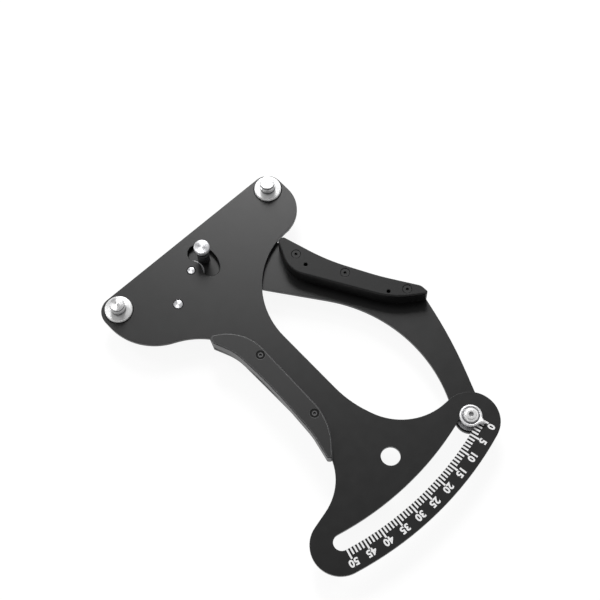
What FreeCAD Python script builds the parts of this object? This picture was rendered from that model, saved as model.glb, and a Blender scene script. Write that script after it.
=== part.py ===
"""Plate-type spoke tension meter, modelled as a parametric FreeCAD document.

Frame: +X runs along the line through the two fixed posts, +Y points away from
the handles and +Z leaves the front face. The origin lies on the front face of
the body plate, midway between the fixed posts. All lengths are millimetres and
all angles degrees.
"""
import FreeCAD, Part
import math
import os
import Sketcher
from FreeCAD import Placement, Rotation, Vector

SIZES = [
    ("plate_thickness", 2.0, "both plates, sheet aluminium"),
    ("plate_gap", 0.8, "air between the two plates"),
    ("running_gap", 0.05, "between flat faces that slide on each other"),
    ("fit_gap", 0.05, "radial play of a pin or a thread in its hole"),
    ("stop_gap", 0.1, "bush to the end of its slot at rest"),
    ("post_x", 53.0, "fixed posts, half their spacing"),
    ("head_top", 8.75, "top edge of the head above the post line"),
    ("head_left", 62.6, "left edge of the head from the centre line"),
    ("head_right", 61.3, "right edge of the head from the centre line"),
    ("head_bottom", 26.0, "lower edge of the right shoulder"),
    ("head_left_radius", 8.8, "upper left corner of the head"),
    ("head_right_radius", 8.8, "upper right corner of the head"),
    ("shoulder_right_radius", 18.5, "lower right corner of the head"),
    ("shoulder_left_radius", 32.6, "lower left corner of the head"),
    ("shoulder_left_y", -4.2, "centre of that corner"),
    ("shoulder_left_end", 246.0, "direction in which that corner ends"),
    ("neck_left_radius", 41.8, "hollow between that corner and the stem"),
    ("neck_left_end", 40.3, "direction in which that hollow ends"),
    ("neck_right_radius", 44.5, "hollow between head and stem, right"),
    ("stem_right", 0.9, "right edge of the stem"),
    ("flare_right_rise", 33.6, "start of that hollow above the scale"),
    ("flare_right_width", 12.2, "width of its first, flatter part"),
    ("flare_right_soft", 60.0, "rounding of its first part"),
    ("flare_right_radius", 33.0, "hollow between stem and scale, right"),
    ("flare_left_slope", 13.2, "slope of the scale's left shoulder"),
    ("pivot_x", -10.0, "lever pivot"),
    ("pivot_y", -8.7, "lever pivot"),
    ("scale_outer_width", 16.1, "outer edge of the scale beyond the pointer axis"),
    ("scale_end_radius", 15.2, "rounded ends of the scale"),
    ("scale_zero_end", -72.95, "direction of the rounded end at zero"),
    ("scale_fifty_end", -104.8, "direction of the rounded end at fifty"),
    ("pointer_radius", 167.2, "pointer axis from the pivot"),
    ("pointer_angle", -72.4, "pointer axis direction at rest"),
    ("scale_slot_half_width", 4.3, "arc slot for the pointer bush"),
    ("scale_slot_end", -104.4, "left end of the arc slot"),
    ("hang_hole_inset", 20.3, "hang hole inside the pointer's arc"),
    ("hang_hole_angle", -87.5, "hang hole direction from the pivot"),
    ("hang_hole_radius", 5.0, "hang hole"),
    ("centre_post_radius", 10.7, "centre post axis from the pivot"),
    ("centre_post_angle", 11.4, "centre post direction at rest"),
    ("window_half_width", 4.7, "curved window that the centre post passes"),
    ("window_half_angle", 34.3, "half the angle between the window's ends"),
    ("window_chamfer", 0.3, "broken front edge of the window"),
    ("anchor_x", -27.9, "spring anchor pin"),
    ("anchor_y", -19.0, "spring anchor pin"),
    ("anchor_radius", 2.45, "spring anchor pin"),
    ("anchor_front", 0.3, "spring anchor pin above the body plate"),
    ("anchor_shoulder_radius", 3.4, "spring anchor pin, shoulder"),
    ("anchor_shoulder_height", 1.0, "spring anchor pin, shoulder"),
    ("anchor_length", 11.4, "spring anchor pin behind the body plate"),
    ("post_flange_radius", 7.3, "fixed post, flange on the plate"),
    ("post_flange_height", 1.8, "fixed post, flange on the plate"),
    ("post_head_radius", 4.0, "fixed post, head and collar"),
    ("post_height", 8.0, "fixed post above the plate"),
    ("post_groove_radius", 1.5, "round spoke groove of the fixed posts"),
    ("post_chamfer", 0.4, "fixed posts, broken edges"),
    ("post_thread_depth", 5.0, "threaded hole in the foot of a post"),
    ("spoke_height", 4.9, "middle of the grooves above the body plate"),
    ("small_thread_radius", 1.5, "M3 thread"),
    ("small_head_radius", 2.85, "M3 button head"),
    ("small_head_height", 1.65, "M3 button head"),
    ("small_head_round", 1.2, "M3 button head"),
    ("small_socket_across", 2.0, "M3 button head, hexagon socket"),
    ("small_socket_depth", 1.0, "M3 button head, hexagon socket"),
    ("small_screw_length", 6.5, "M3 screws below their heads"),
    ("tall_post_height", 11.4, "centre post top above the body plate"),
    ("tall_post_radius", 3.25, "centre post, stem"),
    ("tall_post_head_radius", 4.2, "centre post, head"),
    ("tall_post_head_height", 2.4, "centre post, head"),
    ("tall_groove_centre", 4.25, "centre post, middle of the groove's circle"),
    ("sunk_thread_radius", 1.25, "M2.5 thread"),
    ("sunk_head_radius", 2.35, "M2.5 countersunk head"),
    ("sunk_head_height", 1.3, "M2.5 countersunk head"),
    ("sunk_head_cone", 1.05, "M2.5 countersunk head, conical part"),
    ("sunk_socket_across", 1.5, "M2.5 countersunk head, hexagon socket"),
    ("sunk_socket_depth", 0.9, "M2.5 countersunk head, hexagon socket"),
    ("sunk_recess", 0.15, "countersunk head below its surface"),
    ("body_screw_length", 8.0, "M2.5 screws of the body grip"),
    ("lever_screw_length", 10.8, "M2.5 screws of the lever grip"),
    ("grip_top", 6.5, "top faces of both grips above the body plate"),
    ("grip_chamfer", 0.5, "broken upper edges of the grips"),
    ("pivot_pin_radius", 2.0, "pivot pin"),
    ("pivot_pin_front", 0.3, "pivot pin, front end above the plate"),
    ("pivot_pin_round", 0.25, "pivot pin, rounded ends"),
    ("pivot_washer_radius", 6.9, "slide washer on the pivot"),
    ("boss_radius", 16.0, "round head of the lever plate"),
    ("lever_end_radius", 7.8, "lever plate, round end below the pointer"),
    ("finger_radius", 81.1, "lever plate, hollow finger side"),
    ("finger_straight", 50.0, "finger side, straight run above the hollow"),
    ("throat_margin", 8.65, "finger side, upper corner outside the boss"),
    ("throat_angle", -58.9, "direction of that corner from the pivot"),
    ("throat_radius", 20.0, "finger side, rounding towards the boss"),
    ("pointer_bush_radius", 2.5, "bush that runs in the scale slot"),
    ("pointer_lift", 0.5, "pointer disc above the body plate"),
    ("pointer_disc_radius", 6.2, "pointer disc"),
    ("pointer_disc_thickness", 1.5, "pointer disc"),
    ("pointer_tip_reach", 9.1, "pointer tip from the disc's axis"),
    ("pointer_tip_radius", 0.35, "pointer tip"),
    ("pointer_dish_radius", 5.2, "shallow dish of the pointer disc"),
    ("pointer_dish_depth", 0.25, "shallow dish of the pointer disc"),
    ("pointer_washer_radius", 6.9, "slide washer below the pointer"),
    ("pointer_thread_radius", 2.0, "M4 pointer screw"),
    ("pointer_head_radius", 3.9, "M4 button head"),
    ("pointer_head_height", 2.2, "M4 button head"),
    ("pointer_head_round", 1.7, "M4 button head"),
    ("pointer_socket_across", 2.5, "M4 button head, hexagon socket"),
    ("pointer_socket_depth", 1.3, "M4 button head, hexagon socket"),
    ("pointer_screw_length", 10.2, "M4 pointer screw below its head"),
    ("nut_across", 7.0, "M4 nut across its flats"),
    ("nut_height", 3.2, "M4 nut"),
    ("wire_radius", 0.75, "return spring, wire"),
    ("coil_radius", 5.1, "return spring, mean coil radius"),
    ("coil_pitch", 1.65, "return spring, rise of one turn"),
    ("coil_turns", 2.0, "return spring, whole turns"),
    ("spring_drop", 2.3, "first turn behind the lever plate"),
    ("leg_overhang", 3.5, "spring legs beyond their pins"),
    ("lever_pin_angle", -45.0, "spring pin of the lever from the pivot"),
    ("lever_pin_distance", 19.0, "spring pin of the lever from the pivot"),
    ("lever_pin_radius", 2.0, "spring pin of the lever"),
    ("lever_pin_length", 4.2, "spring pin behind the lever plate"),
    ("lever_pin_head_radius", 2.8, "head of the lever's spring pin"),
    ("lever_pin_head_height", 0.8, "head of the lever's spring pin"),
    ("collar_radius", 3.8, "spring collar on the pivot pin"),
    ("collar_length", 7.2, "spring collar on the pivot pin"),
    ("end_washer_radius", 5.2, "washer behind the collar"),
    ("end_washer_thickness", 0.5, "washer behind the collar"),
    ("clip_radius", 3.9, "retaining clip"),
    ("clip_thickness", 0.6, "retaining clip"),
    ("clip_groove_radius", 1.6, "groove for the retaining clip"),
    ("pin_end", 0.9, "pivot pin behind the clip"),
    ("dowel_radius", 1.0, "dowel pins of the lever grip"),
    ("dowel_sink", 3.0, "dowel pins below the grip's top face"),
    ("dowel_length", 8.0, "dowel pins of the lever grip"),
]

# Corners of the free outlines as x, y and rounding radius, and places of fasteners as x and y.
OUTLINES = {
    "neck": [
        (-30.4, -50.9, 1.0),
        (-25.0, -63.4, 28.0),
    ],
    "flare": [
        (-23.6, 0.0, 30.2),
    ],
    "body_grip_edge": [
        (-28.6, -46.7, 1.0),
        (-30.3, -50.6, 1.0),
        (-25.4, -62.6, 28.0),
        (-23.9, -88.0, 300.0),
        (-25.7, -121.5, 40.0),
        (-28.9, -136.0, 1.2),
        (-27.1, -137.9, 1.2),
        (-14.1, -122.5, 36.0),
        (-12.9, -55.2, 25.0),
    ],
    "lever_side": [
        (71.9, -102.4, 5.0),
        (59.2, -81.9, 150.0),
        (45.4, -56.1, 110.0),
        (37.3, -28.2, 3.5),
    ],
    "lever_back": [
        (64.4, -131.8, 250.0),
    ],
    "lever_grip_edge": [
        (34.0, -29.6, 1.8),
        (26.6, -46.6, 15.0),
        (55.6, -95.6, 45.0),
        (71.8, -107.1, 1.2),
        (71.5, -100.6, 5.0),
        (59.4, -81.9, 150.0),
        (45.6, -56.1, 110.0),
        (37.6, -29.6, 1.8),
    ],
    "body_screw": [
        (-16.6, -72.3),
        (-17.7, -114.5),
    ],
    "lever_screw": [
        (35.7, -42.2),
        (47.3, -68.0),
        (64.6, -97.2),
    ],
    "dowel": [
        (35.3, -50.3),
        (56.5, -91.5),
    ],
}


def fill_sheet(doc):
    """Write every driving size to the sheet, one row each."""
    sheet = doc.addObject("Spreadsheet::Sheet", "sheet")
    rows = list(SIZES)
    for outline, corners in OUTLINES.items():
        for number, corner in enumerate(corners, start=1):
            for word, value in zip(("x", "y", "radius"), corner):
                rows.append(("%s_%d_%s" % (outline, number, word), value, outline))
    for row, (name, value, note) in enumerate(rows, start=1):
        sheet.set("A%d" % row, name)
        sheet.set("B%d" % row, repr(value))
        sheet.set("C%d" % row, note)
        sheet.setAlias("B%d" % row, name)
    doc.recompute()
    return sheet


class Sizes:
    """Numbers and expressions made of the sheet's named cells."""

    def __init__(self, sheet):
        self.sheet = sheet

    def __getattr__(self, name):
        return float(self.sheet.get(name))

    def total(self, text):
        """Value of a sum such as 'plate_thickness + plate_gap'."""
        value = 0.0
        sign = 1.0
        for word in text.split():
            if word in "+-":
                sign = 1.0 if word == "+" else -1.0
                continue
            number = getattr(self, word) if word[0].isalpha() else float(word)
            value += sign * number
        return value

    def formula(self, text):
        """The same sum, written for the document's expression engine."""
        words = [("sheet." + word) if word[0].isalpha() else word for word in text.split()]
        return " ".join(words)

    def corners(self, outline):
        """Corners or places of one outline, read from the sheet."""
        found = []
        for number, corner in enumerate(OUTLINES[outline], start=1):
            words = ("x", "y", "radius")[:len(corner)]
            names = ["%s_%d_%s" % (outline, number, word) for word in words]
            found.append(tuple(getattr(self, name) for name in names))
        return found

    def point(self, radius, degrees):
        """Point given by its distance and direction from the pivot."""
        return polar((self.pivot_x, self.pivot_y), radius, degrees)


def polar(centre, radius, degrees):
    """Point at a distance and direction from a centre."""
    angle = math.radians(degrees)
    return (centre[0] + radius * math.cos(angle), centre[1] + radius * math.sin(angle))


def heading(start, end):
    """Direction from one point to another."""
    return math.degrees(math.atan2(end[1] - start[1], end[0] - start[0]))


def distance(start, end):
    """Length of the straight line between two points."""
    return math.hypot(end[0] - start[0], end[1] - start[1])


def touch_angle(point, centre, radius, side):
    """Direction, from a circle's centre, where a tangent from a point touches.

    Side +1 takes the touch point counter-clockwise of the line to the point.
    """
    opening = math.degrees(math.acos(min(1.0, radius / distance(centre, point))))
    return heading(centre, point) + side * opening


def circles_meet(first, first_radius, second, second_radius):
    """Crossing of two circles on the left of the line from first to second."""
    gap = distance(first, second)
    along = (gap ** 2 + first_radius ** 2 - second_radius ** 2) / (2.0 * gap)
    aside = math.sqrt(first_radius ** 2 - along ** 2)
    base = polar(first, along, heading(first, second))
    return polar(base, aside, heading(first, second) + 90.0)


def arc_ends(arc):
    """First and last point of an arc entry."""
    _, centre, radius, first, last = arc
    return polar(centre, radius, first), polar(centre, radius, last)


def round_corner(before, corner, after):
    """Arc entry that rounds one corner, limited by the sides it joins."""
    point = corner[:2]
    turn = heading(point, after) - heading(before, point)
    turn = (turn + 180.0) % 360.0 - 180.0
    half = math.tan(math.radians(abs(turn)) / 2.0)
    room = min(distance(before, point), distance(point, after))
    radius = min(corner[2], 0.98 * room / half)
    side = 1.0 if turn > 0 else -1.0
    start = polar(point, radius * half, heading(point, before))
    centre = polar(start, radius, heading(before, point) + 90.0 * side)
    first = heading(centre, start)
    return ("arc", centre, radius, first, first + turn)


def rounded_chain(entries):
    """Closed chain of lines and arcs from corners (x, y, radius) and arcs.

    An arc entry is ("arc", centre, radius, first angle, last angle) and turns
    clockwise where the last angle is the smaller one.
    """
    ends = [arc_ends(item) if item[0] == "arc" else (item[:2], item[:2]) for item in entries]
    arcs = []
    for index, item in enumerate(entries):
        if item[0] == "arc":
            arcs.append(item)
            continue
        after = ends[(index + 1) % len(entries)][0]
        arcs.append(round_corner(ends[index - 1][1], item, after))
    chain = []
    for index, arc in enumerate(arcs):
        chain.append(arc)
        leave = arc_ends(arc)[1]
        meet = arc_ends(arcs[(index + 1) % len(arcs)])[0]
        if distance(leave, meet) > 1e-4:
            chain.append(("line", leave, meet))
    return chain


def draw_chain(sketch, chain):
    """Put a closed chain into a sketch and join its ends."""
    first = sketch.GeometryCount
    clockwise = []
    for item in chain:
        if item[0] == "line":
            start = Vector(item[1][0], item[1][1], 0)
            end = Vector(item[2][0], item[2][1], 0)
            sketch.addGeometry(Part.LineSegment(start, end), False)
            clockwise.append(False)
            continue
        _, centre, radius, begin, last = item
        low, high = sorted((math.radians(begin), math.radians(last)))
        circle = Part.Circle(Vector(centre[0], centre[1], 0), Vector(0, 0, 1), radius)
        sketch.addGeometry(Part.ArcOfCircle(circle, low, high), False)
        clockwise.append(last < begin)
    for index in range(len(chain)):
        other = (index + 1) % len(chain)
        leave = 1 if clockwise[index] else 2
        meet = 2 if clockwise[other] else 1
        join = Sketcher.Constraint("Coincident", first + index, leave, first + other, meet)
        sketch.addConstraint(join)


class Maker:
    """Builds one named body at a time from sketches bound to the sheet."""

    def __init__(self, doc, size, label, many=False):
        self.doc = doc
        self.size = size
        self.body = doc.addObject("PartDesign::Body", label)
        self.body.Label = label
        if many:
            self.body.AllowCompound = True
        self.count = 0

    def sketch(self, height="0", plane="XY_Plane"):
        """New sketch on an origin plane, lifted by a height from the sheet."""
        self.count += 1
        name = "%s_sketch_%d" % (self.body.Label, self.count)
        sketch = self.body.newObject("Sketcher::SketchObject", name)
        for item in self.body.Origin.OriginFeatures:
            if item.Role == plane:
                sketch.AttachmentSupport = (item, "")
        sketch.MapMode = "FlatFace"
        if height != "0":
            lift = self.size.formula(height)
            sketch.setExpression("AttachmentOffset.Base.z", lift)
        return sketch

    def bind(self, sketch, kind, arguments, text):
        """Add one sketch dimension that follows the sheet."""
        value = self.size.total(text)
        index = sketch.addConstraint(Sketcher.Constraint(kind, *arguments, value))
        label = "size_%d" % index
        sketch.renameConstraint(index, label)
        sketch.setExpression("Constraints." + label, self.size.formula(text))

    def circle(self, sketch, radius, centre=(0.0, 0.0)):
        """Circle whose radius follows the sheet."""
        place = Vector(centre[0], centre[1], 0)
        shape = Part.Circle(place, Vector(0, 0, 1), self.size.total(radius))
        index = sketch.addGeometry(shape, False)
        self.bind(sketch, "Radius", (index,), radius)

    def hexagon(self, sketch, across, centre=(0.0, 0.0)):
        """Regular hexagon given by its width across flats."""
        reach = self.size.total(across) / math.sqrt(3.0)
        tips = [polar(centre, reach, 60.0 * turn + 30.0) for turn in range(6)]
        chain = [("line", tips[turn - 1], tips[turn]) for turn in range(6)]
        draw_chain(sketch, chain)

    def feature(self, kind, sketch, length=None):
        """Sketch-based feature that follows the sheet."""
        self.count += 1
        item = self.body.newObject("PartDesign::" + kind, "%s_%d" % (self.body.Label, self.count))
        item.Profile = sketch
        sketch.Visibility = False
        if length is None:
            item.Type = "ThroughAll"
            item.Midplane = True
        else:
            item.Type = "Length"
            item.setExpression("Length", self.size.formula(length))
        return item

    def pad(self, sketch, length, down=False):
        """Raise a sketch by a length; downwards if asked."""
        item = self.feature("Pad", sketch, length)
        item.Reversed = down
        return item

    def cut(self, sketch, length=None, up=False):
        """Pocket from a sketch, downwards unless asked, or right through."""
        item = self.feature("Pocket", sketch, length)
        item.Reversed = up
        return item

    def turn(self, points):
        """Solid of revolution about Z from (radius, height) corners."""
        sketch = self.sketch(plane="XZ_Plane")
        flat = [(self.size.total(radius), self.size.total(height)) for radius, height in points]
        count = len(flat)
        draw_chain(sketch, [("line", flat[i], flat[(i + 1) % count]) for i in range(count)])
        for index, (radius, height) in enumerate(points):
            if radius == "0":
                sketch.addConstraint(Sketcher.Constraint("PointOnObject", index, 1, -2))
            else:
                self.bind(sketch, "DistanceX", (-1, 1, index, 1), radius)
            if height == "0":
                sketch.addConstraint(Sketcher.Constraint("PointOnObject", index, 1, -1))
            else:
                self.bind(sketch, "DistanceY", (-1, 1, index, 1), height)
        item = self.body.newObject("PartDesign::Revolution", self.body.Label + "_turned")
        item.Profile = sketch
        item.ReferenceAxis = (sketch, ["V_Axis"])
        item.Angle = 360.0
        sketch.Visibility = False
        return item

    def ring_cut(self, radius, centre, height):
        """Groove of circular section turned into a round part."""
        sketch = self.sketch(plane="XZ_Plane")
        place = (self.size.total(centre), self.size.total(height))
        self.circle(sketch, radius, place)
        self.bind(sketch, "DistanceX", (-1, 1, 0, 3), centre)
        self.bind(sketch, "DistanceY", (-1, 1, 0, 3), height)
        item = self.body.newObject("PartDesign::Groove", self.body.Label + "_groove")
        item.Profile = sketch
        item.ReferenceAxis = (sketch, ["V_Axis"])
        item.Angle = 360.0
        sketch.Visibility = False
        return item

    def dress(self, kind, base, size, chosen):
        """Fillet or chamfer on the edges of a feature that a test accepts."""
        self.doc.recompute()
        names = []
        for index, edge in enumerate(base.Shape.Edges, start=1):
            if chosen(edge):
                names.append("Edge%d" % index)
        self.count += 1
        item = self.body.newObject("PartDesign::" + kind, "%s_%d" % (self.body.Label, self.count))
        item.Base = (base, names)
        prop = "Radius" if kind == "Fillet" else "Size"
        item.setExpression(prop, self.size.formula(size))
        return item

    def place(self, x, y, z, degrees=0.0):
        """Put the finished body at its place in the part frame."""
        turn = Rotation(Vector(0, 0, 1), degrees)
        self.body.Placement = Placement(Vector(x, y, z), turn)
        return self.body


def edges_at(height):
    """Test for edges that lie at one height."""
    def chosen(edge):
        box = edge.BoundBox
        return abs(box.ZMin - height) < 1e-4 and abs(box.ZMax - height) < 1e-4
    return chosen


def rims_at(height, radius):
    """Test for full circles of one radius at one height."""
    level = edges_at(height)

    def chosen(edge):
        if not level(edge) or not isinstance(edge.Curve, Part.Circle):
            return False
        return abs(edge.Curve.Radius - radius) < 1e-4
    return chosen


def body_outline(size):
    """Outer edge of the body plate, counter-clockwise."""
    pivot = (size.pivot_x, size.pivot_y)
    flank = (size.shoulder_left_radius - size.head_left, size.shoulder_left_y)
    edge = size.pointer_radius + size.scale_outer_width
    reach = edge - size.scale_end_radius
    hollow = polar(
        flank, size.shoulder_left_radius + size.neck_left_radius, size.shoulder_left_end)
    hollow_start = size.shoulder_left_end - 180.0
    zero = size.point(reach, size.scale_zero_end)
    scale_top = zero[1] + size.scale_end_radius
    fifty = size.point(reach, size.scale_fifty_end)
    slope = 90.0 + size.flare_left_slope
    fifty_top = polar(fifty, size.scale_end_radius, slope)
    flare_x, _, flare_radius = size.corners("flare")[0]
    run = fifty_top[0] - flare_x
    flare_y = fifty_top[1] - run * math.tan(math.radians(size.flare_left_slope))
    return [
        (size.head_right, size.head_top, size.head_right_radius),
        (-size.head_left, size.head_top, size.head_left_radius),
        ("arc", flank, size.shoulder_left_radius, 180.0, size.shoulder_left_end),
        ("arc", hollow, size.neck_left_radius, hollow_start, size.neck_left_end),
        *size.corners("neck"),
        (flare_x, flare_y, flare_radius),
        ("arc", fifty, size.scale_end_radius, slope, 360.0 + size.scale_fifty_end),
        ("arc", pivot, edge, size.scale_fifty_end, size.scale_zero_end),
        ("arc", zero, size.scale_end_radius, size.scale_zero_end, 90.0),
        (size.stem_right + size.flare_right_width, scale_top, size.flare_right_radius),
        (size.stem_right, scale_top + size.flare_right_rise, size.flare_right_soft),
        (size.stem_right, -size.head_bottom, size.neck_right_radius),
        (size.head_right, -size.head_bottom, size.shoulder_right_radius),
    ]


def arc_slot(centre, radius, half_width, first, last):
    """Outline of a slot that follows an arc from one angle to a larger one."""
    start = polar(centre, radius, first)
    end = polar(centre, radius, last)
    return [
        ("arc", centre, radius + half_width, first, last),
        ("arc", end, half_width, last, last + 180.0),
        ("arc", centre, radius - half_width, last, first),
        ("arc", start, half_width, first - 180.0, first),
    ]


def make_body_plate(doc, size):
    """Body plate with its window, scale slot and holes."""
    maker = Maker(doc, size, "body_plate")
    pivot = (size.pivot_x, size.pivot_y)
    outline = maker.sketch()
    draw_chain(outline, rounded_chain(body_outline(size)))
    maker.pad(outline, "plate_thickness", down=True)
    window = maker.sketch()
    half = size.window_half_angle
    draw_chain(window, arc_slot(pivot, size.centre_post_radius, size.window_half_width, -half, half))
    opened = maker.cut(window)

    span = size.centre_post_radius + size.window_half_width + size.window_chamfer

    def window_rim(edge):
        box = edge.BoundBox
        inside = box.XMin > size.pivot_x and box.XMax < size.pivot_x + span
        return edges_at(0.0)(edge) and inside and box.YMin > size.pivot_y - span
    maker.dress("Chamfer", opened, "window_chamfer", window_rim)
    slot = maker.sketch()
    play = size.scale_slot_half_width - size.pointer_bush_radius - size.stop_gap
    right = size.pointer_angle - math.degrees(play / size.pointer_radius)
    half_width = size.scale_slot_half_width
    draw_chain(slot, arc_slot(pivot, size.pointer_radius, half_width, size.scale_slot_end, right))
    maker.cut(slot)
    holes = maker.sketch()
    inset = size.pointer_radius - size.hang_hole_inset
    maker.circle(holes, "hang_hole_radius", size.point(inset, size.hang_hole_angle))
    maker.circle(holes, "pivot_pin_radius + fit_gap", pivot)
    maker.circle(holes, "anchor_radius + fit_gap", (size.anchor_x, size.anchor_y))
    for side in (-1.0, 1.0):
        maker.circle(holes, "small_thread_radius + fit_gap", (side * size.post_x, 0.0))
    for centre in size.corners("body_screw"):
        maker.circle(holes, "sunk_thread_radius + fit_gap", centre)
    maker.cut(holes)
    return maker.place(0.0, 0.0, 0.0)


def lever_outline(size):
    """Outer edge of the lever plate, counter-clockwise."""
    pivot = (size.pivot_x, size.pivot_y)
    tip = size.point(size.pointer_radius, size.pointer_angle)
    throat = size.point(size.boss_radius + size.throat_margin, size.throat_angle)
    reach = size.finger_radius + size.lever_end_radius
    hollow = circles_meet(
        tip, reach, throat, math.hypot(size.finger_radius, size.finger_straight))
    high = touch_angle(throat, hollow, size.finger_radius, -1.0)
    low = heading(tip, hollow)
    side = size.corners("lever_side")
    shoulder = side[-1][:2]
    upper = touch_angle(shoulder, pivot, size.boss_radius, 1.0)
    lower = touch_angle(throat, pivot, size.boss_radius, -1.0) + 360.0
    back = size.corners("lever_back")[0]
    end = touch_angle(back[:2], tip, size.lever_end_radius, -1.0) + 360.0
    return [
        ("arc", pivot, size.boss_radius, upper, lower),
        (throat[0], throat[1], size.throat_radius),
        ("arc", hollow, size.finger_radius, high, low - 180.0),
        ("arc", tip, size.lever_end_radius, low, end),
        back,
        *side,
    ]


def make_lever_plate(doc, size):
    """Lever plate behind the body plate."""
    maker = Maker(doc, size, "lever_plate")
    outline = maker.sketch()
    draw_chain(outline, rounded_chain(lever_outline(size)))
    maker.pad(outline, "plate_thickness", down=True)
    holes = maker.sketch()
    post = size.point(size.centre_post_radius, size.centre_post_angle)
    tip = size.point(size.pointer_radius, size.pointer_angle)
    pin = size.point(size.lever_pin_distance, size.lever_pin_angle)
    maker.circle(holes, "pivot_pin_radius + fit_gap", (size.pivot_x, size.pivot_y))
    maker.circle(holes, "small_thread_radius + fit_gap", post)
    maker.circle(holes, "pointer_thread_radius + fit_gap", tip)
    maker.circle(holes, "lever_pin_radius + fit_gap", pin)
    for centre in size.corners("lever_screw"):
        maker.circle(holes, "sunk_thread_radius + fit_gap", centre)
    for centre in size.corners("dowel"):
        maker.circle(holes, "dowel_radius + fit_gap", centre)
    maker.cut(holes)
    return maker.place(0.0, 0.0, -size.total("plate_thickness + plate_gap"))


def make_grip(doc, size, label, corners, screws, dowels, height):
    """Grip scale with sunk screw holes, standing on its plate."""
    maker = Maker(doc, size, label)
    outline = maker.sketch()
    draw_chain(outline, rounded_chain(corners))
    slab = maker.pad(outline, height)
    maker.dress("Chamfer", slab, "grip_chamfer", edges_at(size.total(height)))
    seat = maker.sketch(height)
    for centre in screws:
        maker.circle(seat, "sunk_head_radius + fit_gap", centre)
    maker.cut(seat, "sunk_recess + sunk_head_height")
    bores = maker.sketch()
    for centre in screws:
        maker.circle(bores, "sunk_thread_radius + fit_gap", centre)
    for centre in dowels:
        maker.circle(bores, "dowel_radius + fit_gap", centre)
    maker.cut(bores)
    return maker


def make_body_grip(doc, size):
    """Grip scale on the front of the body plate."""
    edge = size.corners("body_grip_edge")
    maker = make_grip(doc, size, "body_grip", edge, size.corners("body_screw"), [], "grip_top")
    return maker.place(0.0, 0.0, 0.0)


def make_lever_grip(doc, size):
    """Taller grip scale on the front of the lever plate."""
    height = "grip_top + plate_thickness + plate_gap"
    edge = size.corners("lever_grip_edge")
    screws = size.corners("lever_screw")
    dowels = size.corners("dowel")
    maker = make_grip(doc, size, "lever_grip", edge, screws, dowels, height)
    return maker.place(0.0, 0.0, -size.total("plate_thickness + plate_gap"))


def make_sunk_screws(doc, size, label, centres, length):
    """Countersunk screws; z = 0 is the top of their heads."""
    maker = Maker(doc, size, label, many=True)
    heads = maker.sketch()
    for centre in centres:
        maker.circle(heads, "sunk_head_radius", centre)
    head = maker.pad(heads, "sunk_head_height", down=True)
    lower = -size.sunk_head_height
    maker.dress("Chamfer", head, "sunk_head_cone", edges_at(lower))
    shanks = maker.sketch()
    for centre in centres:
        maker.circle(shanks, "sunk_thread_radius", centre)
    maker.pad(shanks, length, down=True)
    sockets = maker.sketch()
    for centre in centres:
        maker.hexagon(sockets, "sunk_socket_across", centre)
    maker.cut(sockets, "sunk_socket_depth")
    return maker.place(0.0, 0.0, size.total("grip_top - sunk_recess"))


def make_button_screws(doc, size, label, centres, kind, length):
    """Button head screws, heads up; z = 0 is the face under the heads."""
    maker = Maker(doc, size, label, many=True)
    heads = maker.sketch()
    for centre in centres:
        maker.circle(heads, kind + "_head_radius", centre)
    head = maker.pad(heads, kind + "_head_height")
    top = size.total(kind + "_head_height")
    maker.dress("Fillet", head, kind + "_head_round", edges_at(top))
    shanks = maker.sketch()
    for centre in centres:
        maker.circle(shanks, kind + "_thread_radius", centre)
    maker.pad(shanks, length, down=True)
    sockets = maker.sketch(kind + "_head_height")
    for centre in centres:
        maker.hexagon(sockets, kind + "_socket_across", centre)
    maker.cut(sockets, kind + "_socket_depth")
    return maker


def flip(body, x, y, z):
    """Turn a body upside down about the X axis and place it."""
    body.Placement = Placement(Vector(x, y, z), Rotation(Vector(1, 0, 0), 180.0))
    return body


def make_fixed_post(doc, size, label, side):
    """Turned post with flange, collar, spoke groove and head."""
    maker = Maker(doc, size, label)
    turned = maker.turn([
        ("0", "0"),
        ("post_flange_radius", "0"),
        ("post_flange_radius", "post_flange_height"),
        ("post_head_radius", "post_flange_height"),
        ("post_head_radius", "post_height"),
        ("0", "post_height"),
    ])

    def outer_rims(edge):
        flange = rims_at(size.post_flange_height, size.post_flange_radius)
        head = rims_at(size.post_height, size.post_head_radius)
        return flange(edge) or head(edge)
    maker.dress("Chamfer", turned, "post_chamfer", outer_rims)
    maker.ring_cut("post_groove_radius", "post_head_radius", "spoke_height")
    thread = maker.sketch()
    maker.circle(thread, "small_thread_radius + fit_gap")
    maker.cut(thread, "post_thread_depth", up=True)
    return maker.place(side * size.post_x, 0.0, 0.0)


def make_centre_post(doc, size):
    """Turned post that stands on the lever plate and bends the spoke."""
    maker = Maker(doc, size, "centre_post")
    top = "tall_post_height + plate_thickness + plate_gap"
    turned = maker.turn([
        ("0", "0"),
        ("tall_post_radius", "0"),
        ("tall_post_radius", top + " - tall_post_head_height"),
        ("tall_post_head_radius", top + " - tall_post_head_height"),
        ("tall_post_head_radius", top),
        ("0", top),
    ])
    rim = rims_at(size.total(top), size.tall_post_head_radius)
    maker.dress("Chamfer", turned, "post_chamfer", rim)
    level = "spoke_height + plate_thickness + plate_gap"
    maker.ring_cut("post_groove_radius", "tall_groove_centre", level)
    thread = maker.sketch()
    maker.circle(thread, "small_thread_radius + fit_gap")
    maker.cut(thread, "post_thread_depth", up=True)
    x, y = size.point(size.centre_post_radius, size.centre_post_angle)
    return maker.place(x, y, -size.total("plate_thickness + plate_gap"))


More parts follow.
